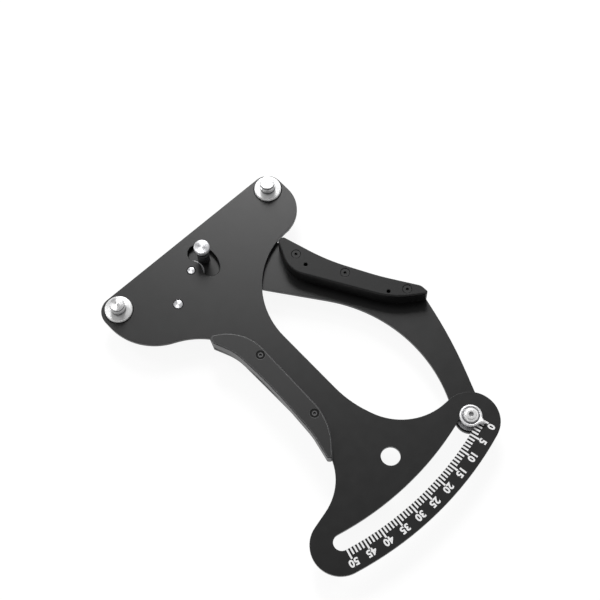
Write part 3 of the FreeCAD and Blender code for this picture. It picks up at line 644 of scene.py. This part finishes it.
    def material(self) -> bpy.types.Material:
        """Cut the rings in height and tone.

        Returns:
            The finish.
        """
        surface = Surface(self.name)
        apart = surface.split()
        flat = self.from_axis(surface, apart)
        radius, height = surface.length(flat), apart.outputs["Z"]
        line = surface.add("ShaderNodeCombineXYZ")
        surface.join(surface.maths("ADD", radius, height), line.inputs["X"])
        rings = surface.noise(1.0 / self.pitch, 2.0, line.outputs["Vector"])
        broad = surface.noise(self.broad_share / self.pitch, 2.0, line.outputs["Vector"])
        base = self.tone(surface, rings, broad)
        surface.wire("Base Color", self.zones(surface, base, radius, height))
        self.polish(surface, rings, radius)
        relief = surface.maths("ADD", rings, surface.maths("MULTIPLY", broad, self.broad_depth))
        surface.wire("Normal", surface.bump(relief, self.depth, surface.rounded(self.edge)))
        self.brush(surface, flat)
        return surface.material


@dataclass(frozen=True)
class Blackened:
    """Blackened steel of small screws, pins and clips."""

    name: str
    colour: Colour = (0.075, 0.075, 0.077)
    worn: Colour = (0.110, 0.110, 0.112)
    # Black of the shade painted on the edges and outside the middles.
    rim: Colour = (0.0008, 0.0008, 0.0008)
    reach: float = 0.0004
    middle: float | None = None
    roughness: float = 0.3
    gloss: float = 0.5
    grain_scale: float = 5000.0
    wear_scale: float = 1400.0
    relief: float = 0.000003

    def material(self) -> bpy.types.Material:
        """Mix oiled black oxide with black painted shade on the edges and outside the middles.

        Returns:
            The finish.
        """
        surface = Surface(self.name)
        grain = surface.noise(self.grain_scale)
        wear = surface.noise(self.wear_scale, detail=4.0)
        # Painted shade: the edges, and a head outside its middle, go black and rough.
        rim_shade = surface.edges(surface.rounded(self.reach))
        if self.middle is not None:
            middles = surface.seats(tuple((x, y, self.middle) for x, y, _ in BODY_SCREWS))
            rim_shade = surface.maths("MAXIMUM", rim_shade, surface.maths("SUBTRACT", 1.0, middles))
        base = surface.blend(surface.span(wear, 0.0, 1.0), self.colour, self.worn)
        surface.wire("Base Color", surface.blend(rim_shade, base, self.rim))
        rough = surface.vary(grain, self.roughness, less=0.06, more=0.1)
        surface.wire("Roughness", surface.maths("MAXIMUM", rough, rim_shade))
        surface.wire("Normal", surface.bump(grain, self.relief))
        surface.set(Metallic=0.0, IOR=1.6, Specular_IOR_Level=self.gloss)
        return surface.material


@dataclass(frozen=True)
class DrawnWire:
    """Hard-drawn spring wire with faint die marks along it."""

    name: str
    colour: Colour = (0.52, 0.52, 0.54)
    shade: Colour = (0.30, 0.30, 0.32)
    roughness: float = 0.3
    streak_scale: float = 9000.0
    stretch: Point = (0.12, 0.12, 1.0)
    tarnish_scale: float = 420.0
    relief: float = 0.000003

    def material(self) -> bpy.types.Material:
        """Draw grey steel with a little tarnish.

        Returns:
            The finish.
        """
        surface = Surface(self.name)
        stretched = surface.add("ShaderNodeMapping")
        stretched.inputs["Scale"].default_value = self.stretch
        surface.join(surface.position, stretched.inputs["Vector"])
        streaks = surface.noise(self.streak_scale, 3.0, stretched.outputs["Vector"])
        tarnish = surface.span(surface.noise(self.tarnish_scale, detail=5.0), 0.0, 0.5)
        base = surface.blend(surface.span(streaks, 0.0, 0.8), self.colour, self.shade)
        surface.wire("Base Color", surface.blend(tarnish, base, self.shade))
        rough = surface.vary(streaks, self.roughness, less=0.06, more=0.1)
        surface.wire("Roughness", rough)
        surface.wire("Normal", surface.bump(streaks, self.relief))
        surface.set(Metallic=1.0)
        return surface.material


@dataclass(frozen=True)
class MarkPaint:
    """White screen ink of the scale."""

    name: str
    colour: Colour = (0.86, 0.86, 0.86)
    thin: Colour = (0.70, 0.70, 0.71)
    roughness: float = 0.55
    cover_scale: float = 2200.0
    relief: float = 0.000004

    def material(self) -> bpy.types.Material:
        """Print ink that lies a little thinner in places.

        Returns:
            The finish.
        """
        surface = Surface(self.name)
        cover = surface.noise(self.cover_scale, detail=4.0)
        thin = surface.span(cover, 0.0, 1.0, start=0.52, end=0.8)
        surface.wire("Base Color", surface.blend(thin, self.colour, self.thin))
        rough = surface.vary(cover, self.roughness, less=0.05, more=0.08)
        surface.wire("Roughness", rough)
        surface.wire("Normal", surface.bump(cover, self.relief))
        return surface.material


@dataclass
class Dressing:
    """Finishes of the pieces whose shape comes from the frame."""

    nodes: dict[str, bpy.types.Object]

    def apply(self, finish: bpy.types.Material, *names: str) -> None:
        """Give nodes a finish through their material slots.

        Args:
            finish: the material.
            names: the nodes.
        """
        for name in names:
            for slot in self.nodes[name].material_slots:
                slot.material = finish
            LOG.info("%s: finish %s", name, finish.name)

    def plates(self) -> None:
        """Dress both plates."""
        dye = {"colour": (0.0038, 0.0038, 0.0039), "cloud": (0.0044, 0.0044, 0.0045),
               "edge": (0.020, 0.020, 0.0205), "roughness": 0.36}
        # The body plate's finish paints black shade round its pins and posts.
        seated = Anodised("plate_anodised_seats", seats=PLATE_SEATS, **dye)
        self.apply(seated.material(), "body_plate")
        self.apply(Anodised("plate_anodised", **dye).material(), "lever_plate")

    def grips(self) -> None:
        """Dress both grips and their black fasteners."""
        # Body grip: lighter walls as painted sheen, a pale painted highlight on its edges, black
        # painted shade round its screws.
        highlit = Moulded(
            "grip_moulded_rubbed", edge=(0.42, 0.42, 0.425), wall=(0.14, 0.14, 0.142),
            gloss=0.46, seats=BODY_SCREWS)
        # Lever grip: darker walls as painted shade, a faint painted highlight on its edges, black
        # painted shade round its screws.
        wall_shaded = Moulded(
            "grip_moulded", edge=(0.012, 0.012, 0.0122), wall=(0.005, 0.005, 0.0051),
            gloss=0.27, seats=LEVER_SCREWS)
        self.apply(highlit.material(), "body_grip")
        self.apply(wall_shaded.material(), "lever_grip")
        # Body grip screws get black painted shade outside their middles; the lever ones on their
        # edges.
        glossy = Blackened("screw_blackened", middle=0.00120)
        dull = Blackened(
            "screw_dulled", colour=(0.008, 0.008, 0.0082), worn=(0.010, 0.010, 0.0102),
            reach=0.0003, roughness=0.44, gloss=0.22)
        self.apply(glossy.material(), "body_grip_screws")
        self.apply(dull.material(), "lever_grip_screws", "lever_grip_dowels", "retaining_clip")

    def posts(self) -> None:
        """Dress the three posts and the screws behind them."""
        # Fixed posts: dark walls as painted shade, a paler flange as painted light with a painted
        # rim highlight.
        fixed = Turned(
            "post_turned", Axis.FIXED_POSTS, colour=(0.86, 0.86, 0.86), shade=(0.56, 0.56, 0.57),
            side=(0.17, 0.17, 0.175), flange_radius=0.0042)
        # The stem below the head is painted dark, as painted shade.
        centre = Turned("centre_post_turned", Axis.CENTRE_POST, dark_below=0.0089)
        self.apply(fixed.material(), "fixed_post_left", "fixed_post_right")
        self.apply(centre.material(), "centre_post")
        rear = Turned("rear_screw", Axis.FIXED_POSTS, roughness=0.26, anisotropy=0.5)
        middle = Turned("middle_rear_screw", Axis.CENTRE_POST, roughness=0.26, anisotropy=0.5)
        self.apply(rear.material(), "fixed_post_screws")
        self.apply(middle.material(), "centre_post_screw")

    def pivot(self) -> None:
        """Dress the pins, washers and collar."""
        stack = Turned("pivot_ground", Axis.PIVOT, roughness=0.26, anisotropy=0.8)
        anchor = Turned("anchor_ground", Axis.ANCHOR, roughness=0.26, anisotropy=0.8)
        pin = Turned("lever_pin_ground", Axis.LEVER_PIN, roughness=0.24, anisotropy=0.5)
        washer = Turned(
            "washer_blanked", Axis.PIVOT, colour=(0.60, 0.60, 0.61), shade=(0.44, 0.44, 0.45),
            roughness=0.5, anisotropy=0.0, edge=0.00012)
        self.apply(stack.material(), "pivot_pin", "spring_collar")
        self.apply(washer.material(), "pivot_washer", "end_washer")
        self.apply(anchor.material(), "anchor_pin")
        self.apply(pin.material(), "lever_spring_pin")

    def pointer(self) -> None:
        """Dress what clamps the pointer, and build the pointer."""
        disc = Turned(
            "pointer_pressed", Axis.POINTER, colour=(0.90, 0.90, 0.90), shade=(0.74, 0.74, 0.75),
            roughness=0.38, anisotropy=0.0, pitch=0.0004, dull_radius=0.0047)
        # The screw's darker middle is painted shade in its socket.
        screw = Turned(
            "pointer_screw_polished", Axis.POINTER, colour=(0.96, 0.96, 0.96),
            shade=(0.90, 0.90, 0.90), roughness=0.2, anisotropy=0.0, metal=0.5, depth=0.0000003,
            edge=0.00015, dull_radius=0.0013, dull=(0.45, 0.45, 0.455))
        steel = Turned(
            "pointer_fastener", Axis.POINTER, colour=(0.7, 0.7, 0.71), shade=(0.5, 0.5, 0.52),
            roughness=0.28, anisotropy=0.5)
        PointerDisc(disc.material()).build()
        self.apply(screw.material(), "pointer_screw")
        self.apply(steel.material(), "pointer_bush", "pointer_washer", "pointer_nut")


@dataclass
class DialScale:
    """White marks and plain numbers along the arc slot."""

    ink: bpy.types.Material
    zero_angle: float = -72.0
    division: float = 0.645
    divisions: int = 50
    numbered: int = 5
    inner: float = 0.17152
    minor_outer: float = 0.1751
    major_outer: float = 0.1767
    mark_width: float = 0.00095
    number_radius: float = 0.1788
    number_height: float = 0.0040
    number_weight: float = 0.00021
    capital_height: float = 0.72
    spacing: float = 1.04
    smoothness: int = 4
    zero_shift: float = 0.32
    merge: float = 0.00004
    film: float = 0.00003

    def angle(self, value: float) -> float:
        """Direction of a value from the pivot."""
        return self.zero_angle - self.division * value

    def marks(self) -> bpy.types.Object:
        """Print the marks, each a flat slip given the ink's thickness.

        Returns:
            The marks as one piece.
        """
        mesh = bmesh.new()
        for value in range(self.divisions + 1):
            outer = self.minor_outer if value % self.numbered else self.major_outer
            place = (
                Matrix.Translation(around(PIVOT, (self.inner + outer) / 2.0, self.angle(value)))
                @ Matrix.Rotation(math.radians(self.angle(value)), 4, "Z")
                @ Matrix.Diagonal((outer - self.inner, self.mark_width, 1.0, 1.0)))
            bmesh.ops.create_grid(mesh, x_segments=1, y_segments=1, size=0.5, matrix=place)
        self.thicken(mesh)
        return piece("scale_marks", mesh, self.ink)

    def numbers(self) -> bpy.types.Object:
        """Print the numbers, their tops away from the pivot and the zero clear of the pointer.

        Returns:
            The numbers as one piece.
        """
        mesh = bmesh.new()
        for value in range(0, self.divisions + 1, self.numbered):
            angle = self.angle(value) - (0.0 if value else self.zero_shift)
            place = (
                Matrix.Translation(around(PIVOT, self.number_radius, angle))
                @ Matrix.Rotation(math.radians(angle - 90.0), 4, "Z"))
            figure = self.figure(str(value))
            figure.transform(place)
            mesh.from_mesh(figure)
            bpy.data.meshes.remove(figure)
        bmesh.ops.remove_doubles(mesh, verts=mesh.verts[:], dist=self.merge)
        self.thicken(mesh)
        return piece("scale_numbers", mesh, self.ink)

    def figure(self, word: str) -> bpy.types.Mesh:
        """Flat outline of one number about the origin.

        Args:
            word: its digits.

        Returns:
            A mesh of the height asked for.
        """
        text = bpy.data.curves.new("figure", "FONT")
        text.body = word
        text.align_x = "CENTER"
        text.align_y = "CENTER"
        text.size = self.number_height / self.capital_height
        text.offset = self.number_weight
        text.space_character = self.spacing
        text.resolution_u = self.smoothness
        holder = bpy.data.objects.new("figure", text)
        mesh = bpy.data.meshes.new_from_object(holder)
        bpy.data.objects.remove(holder)
        bpy.data.curves.remove(text)
        across = [vertex.co.x for vertex in mesh.vertices]
        along = [vertex.co.y for vertex in mesh.vertices]
        middle = Vector(((max(across) + min(across)) / 2.0, (max(along) + min(along)) / 2.0, 0.0))
        grow = self.number_height / (max(along) - min(along))
        mesh.transform(Matrix.Scale(grow, 4) @ Matrix.Translation(-middle))
        return mesh

    def thicken(self, mesh: Mesh) -> None:
        """Give flat ink its thickness above the plate's face.

        Args:
            mesh: the flat print.
        """
        region = bmesh.ops.extrude_face_region(mesh, geom=mesh.faces[:], use_keep_orig=True)
        top = [item for item in region["geom"] if isinstance(item, bmesh.types.BMVert)]
        bmesh.ops.translate(mesh, verts=top, vec=(0.0, 0.0, self.film))

    def build(self) -> None:
        """Make the marks and numbers and let them ride on the body."""
        for made in (self.marks(), self.numbers()):
            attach(made, "body")
            LOG.info("%s: %d faces", made.name, len(made.data.polygons))


@dataclass
class PointerDisc:
    """Pressed pointer: dished disc with a rolled rim and a drawn-out tip."""

    finish: bpy.types.Material
    radius: float = 0.0058
    reach: float = 0.0086
    tip_half_angle: float = 24.0
    dish_radius: float = 0.0047
    dish_depth: float = 0.00025
    hole_radius: float = 0.00205
    lift: float = 0.0005
    thickness: float = 0.0015
    roll: float = 0.0004
    shoulder: float = 0.3
    brim: float = 0.0002
    foot_edge: float = 0.00006
    sides: int = 240

    def outline(self, place: Vector, inset: float) -> float:
        """Distance of the outline from the axis.

        Args:
            place: a point in the wanted direction, with the tip's along +X.
            inset: how far inside the outline.

        Returns:
            The distance.
        """
        off = abs(math.degrees(math.atan2(place.y, place.x)))
        drawn = max(0.0, 1.0 - off / self.tip_half_angle) ** 2
        return self.radius - inset + (self.reach - self.radius) * drawn

    def settle(self, verts: list[bmesh.types.BMVert], follow: bool,
               amount: float, height: float) -> None:
        """Put a ring of the profile in its place.

        Args:
            verts: the ring.
            follow: whether it follows the outline or is round.
            amount: inset from the outline, or the round ring's radius.
            height: its height above the disc's foot.
        """
        for vert in verts:
            distance = self.outline(vert.co, amount) if follow else amount
            flat = Vector((vert.co.x, vert.co.y, 0.0)).normalized() * distance
            vert.co = Vector((flat.x, flat.y, height))

    def profile(self) -> tuple[tuple[bool, float, float], ...]:
        """List the rings from the foot's edge over the rim and the dish back to the foot.

        Returns:
            For each ring what settle asks for: follow, amount and height.
        """
        top, low = self.thickness, self.thickness - self.dish_depth
        return (
            (True, self.foot_edge, 0.0),
            (True, 0.0, self.foot_edge),
            (True, 0.0, top - self.roll),
            (True, self.roll * self.shoulder, top - self.roll * self.shoulder),
            (True, self.roll, top),
            (False, self.dish_radius + self.brim, top),
            (False, self.dish_radius, top - self.dish_depth * self.shoulder),
            (False, self.dish_radius - self.brim, low),
            (False, self.hole_radius, low),
            (False, self.hole_radius, 0.0),
            (True, self.foot_edge, 0.0))

    def build(self) -> None:
        """Draw the rings of the profile one after the other and close them."""
        first, *others = self.profile()
        mesh = bmesh.new()
        bmesh.ops.create_circle(mesh, segments=self.sides, radius=self.radius)
        self.settle(mesh.verts[:], *first)
        loop = mesh.edges[:]
        for ring in others:
            drawn = bmesh.ops.extrude_edge_only(mesh, edges=loop)["geom"]
            edges = [item for item in drawn if isinstance(item, bmesh.types.BMEdge)]
            loop = [edge for edge in edges if edge.is_boundary]
            self.settle([item for item in drawn if isinstance(item, bmesh.types.BMVert)], *ring)
        bmesh.ops.remove_doubles(mesh, verts=mesh.verts[:], dist=MERGE)
        mesh.transform(
            Matrix.Translation((*Axis.POINTER.value, self.lift))
            @ Matrix.Rotation(math.radians(POINTER_ANGLE), 4, "Z"))
        disc = piece("pointer_plate", mesh, self.finish, smooth=True)
        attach(disc, "lever")
        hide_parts("pointer_disc")
        LOG.info("%s: %d faces", disc.name, len(disc.data.polygons))


@dataclass
class ReturnSpring:
    """Torsion spring about the pivot: fixed leg, coil and moving leg in one wire."""

    finish: bpy.types.Material
    coil_radius: float = 0.0051
    wire_radius: float = 0.00075
    pitch: float = 0.00165
    fixed_heading: float = 233.768
    moving_heading: float = -69.570
    sweep: float = 843.338
    fixed_length: float = 0.024152
    moving_length: float = 0.0225
    foot_height: float = -0.0109653
    end_edge: float = 0.00012
    margin: float = 0.0002
    sides: int = 18
    coil_steps: int = 160
    leg_steps: int = 10

    def advance(self, mesh: Mesh, cap: bmesh.types.BMFace, move: Vector) -> bmesh.types.BMFace:
        """Draw the wire on in a straight leg.

        Args:
            mesh: the wire's bmesh.
            cap: its end face.
            move: the whole run.

        Returns:
            The new end face.
        """
        for _ in range(self.leg_steps):
            drawn = bmesh.ops.extrude_discrete_faces(mesh, faces=[cap])
            cap = drawn["faces"][0]
            bmesh.ops.translate(mesh, verts=cap.verts[:], vec=move / self.leg_steps)
        return cap

    def wind(self, mesh: Mesh, cap: bmesh.types.BMFace, rise: float) -> bmesh.types.BMFace:
        """Wind the coil about the pivot.

        Args:
            mesh: the wire's bmesh.
            cap: its end face.
            rise: the coil's whole height.

        Returns:
            The new end face.
        """
        wound = bmesh.ops.spin(
            mesh, geom=[cap, *cap.edges[:], *cap.verts[:]], cent=PIVOT, axis=UP,
            dvec=(0.0, 0.0, rise / self.coil_steps), angle=-math.radians(self.sweep),
            steps=self.coil_steps, use_merge=False, use_duplicate=False)
        return [item for item in wound["geom_last"] if isinstance(item, bmesh.types.BMFace)][0]

    def finish_ends(self, mesh: Mesh) -> None:
        """Merge the seams, close the wire and break the edges of its ends.

        Args:
            mesh: the wire's bmesh.
        """
        bmesh.ops.remove_doubles(mesh, verts=mesh.verts[:], dist=MERGE)
        bare = [edge for edge in mesh.edges if edge.is_boundary]
        bmesh.ops.holes_fill(mesh, edges=bare, sides=0)
        ends = [edge for face in mesh.faces if len(face.verts) > 4 for edge in face.edges]
        bmesh.ops.bevel(
            mesh, geom=ends, offset=self.end_edge, offset_type="OFFSET", segments=2, profile=0.5,
            affect="EDGES", material=-1)

    def build(self) -> None:
        """Draw, wind and bend the wire."""
        mesh = bmesh.new()
        slope = self.pitch / (2.0 * math.pi * self.coil_radius)
        foot = around(PIVOT, self.coil_radius, self.fixed_heading - 90.0, self.foot_height)
        outward = around(Vector(), 1.0, self.fixed_heading, -slope)
        onward = around(Vector(), 1.0, self.moving_heading, slope)
        facing = (-outward).to_track_quat("Z", "Y").to_matrix().to_4x4()
        bmesh.ops.create_circle(
            mesh, cap_ends=True, segments=self.sides, radius=self.wire_radius,
            matrix=Matrix.Translation(foot + outward * self.fixed_length) @ facing)
        rise = self.pitch * self.sweep / 360.0
        cap = self.advance(mesh, mesh.faces[:][0], -outward * self.fixed_length)
        cap = self.wind(mesh, cap, rise)
        self.advance(mesh, cap, onward * self.moving_length)
        self.finish_ends(mesh)
        spring = piece("spring_wire", mesh, self.finish, smooth=True)
        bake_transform(spring)
        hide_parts("return_spring")
        LOG.info("%s: %d faces", spring.name, len(spring.data.polygons))


@dataclass(frozen=True)
class Lamp:
    """Long soft lamp aimed at the tool, its length rising towards the ceiling."""

    name: str
    place: Point
    aim: Point
    width: float
    length: float
    power: float

    def build(self) -> None:
        """Hang the lamp."""
        light = bpy.data.lights.new(self.name, "AREA")
        light.shape = "RECTANGLE"
        light.size = self.width
        light.size_y = self.length
        light.energy = self.power
        holder = bpy.data.objects.new(self.name, light)
        bpy.context.scene.collection.objects.link(holder)
        facing = (Vector(self.aim) - Vector(self.place)).to_track_quat("-Z", "Y")
        holder.matrix_world = Matrix.Translation(self.place) @ facing.to_matrix().to_4x4()
        LOG.info("%s: lamp", self.name)


@dataclass(frozen=True)
class Floor:
    """Pale floor that keeps a soft shadow."""

    height: float = -0.01412
    size: float = 3.0
    middle: tuple[float, float] = (0.0, -0.08)
    colour: Colour = (0.14, 0.14, 0.14)
    cloud: Colour = (0.15, 0.15, 0.15)
    cloud_scale: float = 30.0
    roughness: float = 0.90
    grain_scale: float = 600.0
    shine: float = 0.90

    def build(self) -> None:
        """Lay the floor under the pivot pin's end, white to the camera and in reflections."""
        surface = Surface("floor_white")
        clouds = surface.span(surface.noise(self.cloud_scale, detail=4.0), 0.0, 1.0)
        surface.wire("Base Color", surface.blend(clouds, self.colour, self.cloud))
        grain = surface.noise(self.grain_scale)
        surface.wire("Roughness", surface.vary(grain, self.roughness, less=0.05, more=0.05))
        path = surface.add("ShaderNodeLightPath").outputs
        seen = surface.maths("MAXIMUM", path["Is Camera Ray"], path["Is Glossy Ray"])
        seen = surface.maths("MAXIMUM", seen, path["Is Transmission Ray"])
        surface.wire("Emission Strength", surface.maths("MULTIPLY", seen, self.shine))
        surface.set(Specular_IOR_Level=0.0, Emission_Color=(*WHITE, 1.0))
        mesh = bmesh.new()
        place = Matrix.Translation((*self.middle, self.height))
        bmesh.ops.create_grid(mesh, x_segments=8, y_segments=8, size=self.size / 2.0, matrix=place)
        piece("floor", mesh, surface.material)
        LOG.info("floor: laid")


@dataclass(frozen=True)
class Room:
    """Pale walls, a dim ceiling with a dark card under it, and white to the camera.

    Bands pair the sine of the height in the sky with a grey. The card's edges are cosines of the
    angle from its direction.
    """

    bands: tuple[tuple[float, float], ...] = (
        (0.0, 0.92), (0.45, 0.90), (0.56, 0.36), (0.76, 0.34), (0.86, 0.36), (1.0, 0.34))
    card: Point = (-0.26, -0.31, 0.914)
    card_outer: float = 0.866
    card_inner: float = 0.930
    card_light: float = 0.02

    def build(self) -> None:
        """Light the room through the world's nodes."""
        room = bpy.data.worlds.new("room")
        room.use_nodes = True
        nodes, join = room.node_tree.nodes, room.node_tree.links.new
        nodes.clear()
        toward = nodes.new("ShaderNodeTexCoord").outputs["Generated"]
        apart = nodes.new("ShaderNodeSeparateXYZ")
        ramp = nodes.new("ShaderNodeValToRGB")
        stops = ramp.color_ramp.elements
        for spot, (place, grey) in enumerate(self.bands):
            stop = stops.new(place) if spot > 1 else stops[spot]
            stop.position = place
            stop.color = (grey, grey, grey, 1.0)
        card = nodes.new("ShaderNodeVectorMath")
        card.operation = "DOT_PRODUCT"
        card.inputs[1].default_value = self.card
        lit = nodes.new("ShaderNodeMapRange")
        limits = {"From Min": self.card_outer, "From Max": self.card_inner,
                  "To Min": 1.0, "To Max": self.card_light}
        for name, value in limits.items():
            lit.inputs[name].default_value = value
        shade = nodes.new("ShaderNodeBackground")
        white = nodes.new("ShaderNodeBackground")
        white.inputs["Color"].default_value = (*WHITE, 1.0)
        chosen = nodes.new("ShaderNodeMixShader")
        join(toward, apart.inputs["Vector"])
        join(apart.outputs["Z"], ramp.inputs["Fac"])
        join(toward, card.inputs[0])
        join(card.outputs["Value"], lit.inputs["Value"])
        join(lit.outputs["Result"], shade.inputs["Strength"])
        join(ramp.outputs["Color"], shade.inputs["Color"])
        join(nodes.new("ShaderNodeLightPath").outputs["Is Camera Ray"], chosen.inputs["Fac"])
        join(shade.outputs["Background"], chosen.inputs[1])
        join(white.outputs["Background"], chosen.inputs[2])
        join(chosen.outputs["Shader"], nodes.new("ShaderNodeOutputWorld").inputs["Surface"])
        bpy.context.scene.world = room
        LOG.info("room: lit")


@dataclass(frozen=True)
class Camera:
    """Viewpoint above the handles' left, given by its place and its three directions."""

    lens: float = 78.0
    sensor: float = 36.0
    nearest: float = 0.01
    farthest: float = 20.0
    place: Point = (-0.1578, -0.2766, 0.6288)
    right: Point = (0.7372134126, -0.6753114364, -0.0216990370)
    down: Point = (-0.6237340876, -0.6678594024, -0.4061029506)
    ahead: Point = (0.2597540611, 0.3129189711, -0.9135696718)

    def build(self) -> None:
        """Set up the camera and make it the scene's own."""
        lens = bpy.data.cameras.new("camera")
        lens.lens = self.lens
        lens.sensor_width = self.sensor
        lens.clip_start = self.nearest
        lens.clip_end = self.farthest
        camera = bpy.data.objects.new("camera", lens)
        bpy.context.scene.collection.objects.link(camera)
        rows = (Vector(self.right), -Vector(self.down), -Vector(self.ahead))
        turned = Matrix(rows).transposed().to_4x4()
        camera.matrix_world = Matrix.Translation(self.place) @ turned
        bpy.context.scene.camera = camera
        LOG.info("camera: set")


@dataclass(frozen=True)
class Studio:
    """Floor, room, lamps and camera. The key lamp hangs beyond the head and the fill beside it."""

    lamps: tuple[Lamp, ...] = (
        Lamp("key_lamp", place=(1.01, 1.18, 1.54), aim=(0.02, -0.03, 0.0),
             width=0.7, length=1.0, power=34.0),
        Lamp("fill_lamp", place=(-0.374, 1.35, 1.63), aim=(0.0, -0.08, 0.0),
             width=0.5, length=0.8, power=7.0))

    def build(self) -> None:
        """Set up the whole studio."""
        bpy.context.scene.view_settings.view_transform = "Standard"
        Floor().build()
        Room().build()
        for lamp in self.lamps:
            lamp.build()
        Camera().build()


def main() -> None:
    """Dress the tool and set up the studio."""
    logging.basicConfig(level=logging.INFO, format="%(name)s: %(message)s")
    dressing = Dressing(frame["nodes"])
    dressing.plates()
    dressing.grips()
    dressing.posts()
    dressing.pivot()
    dressing.pointer()
    DialScale(MarkPaint("scale_ink").material()).build()
    ReturnSpring(DrawnWire("spring_wire_drawn").material()).build()
    Studio().build()


if __name__ == "__main__":
    main()
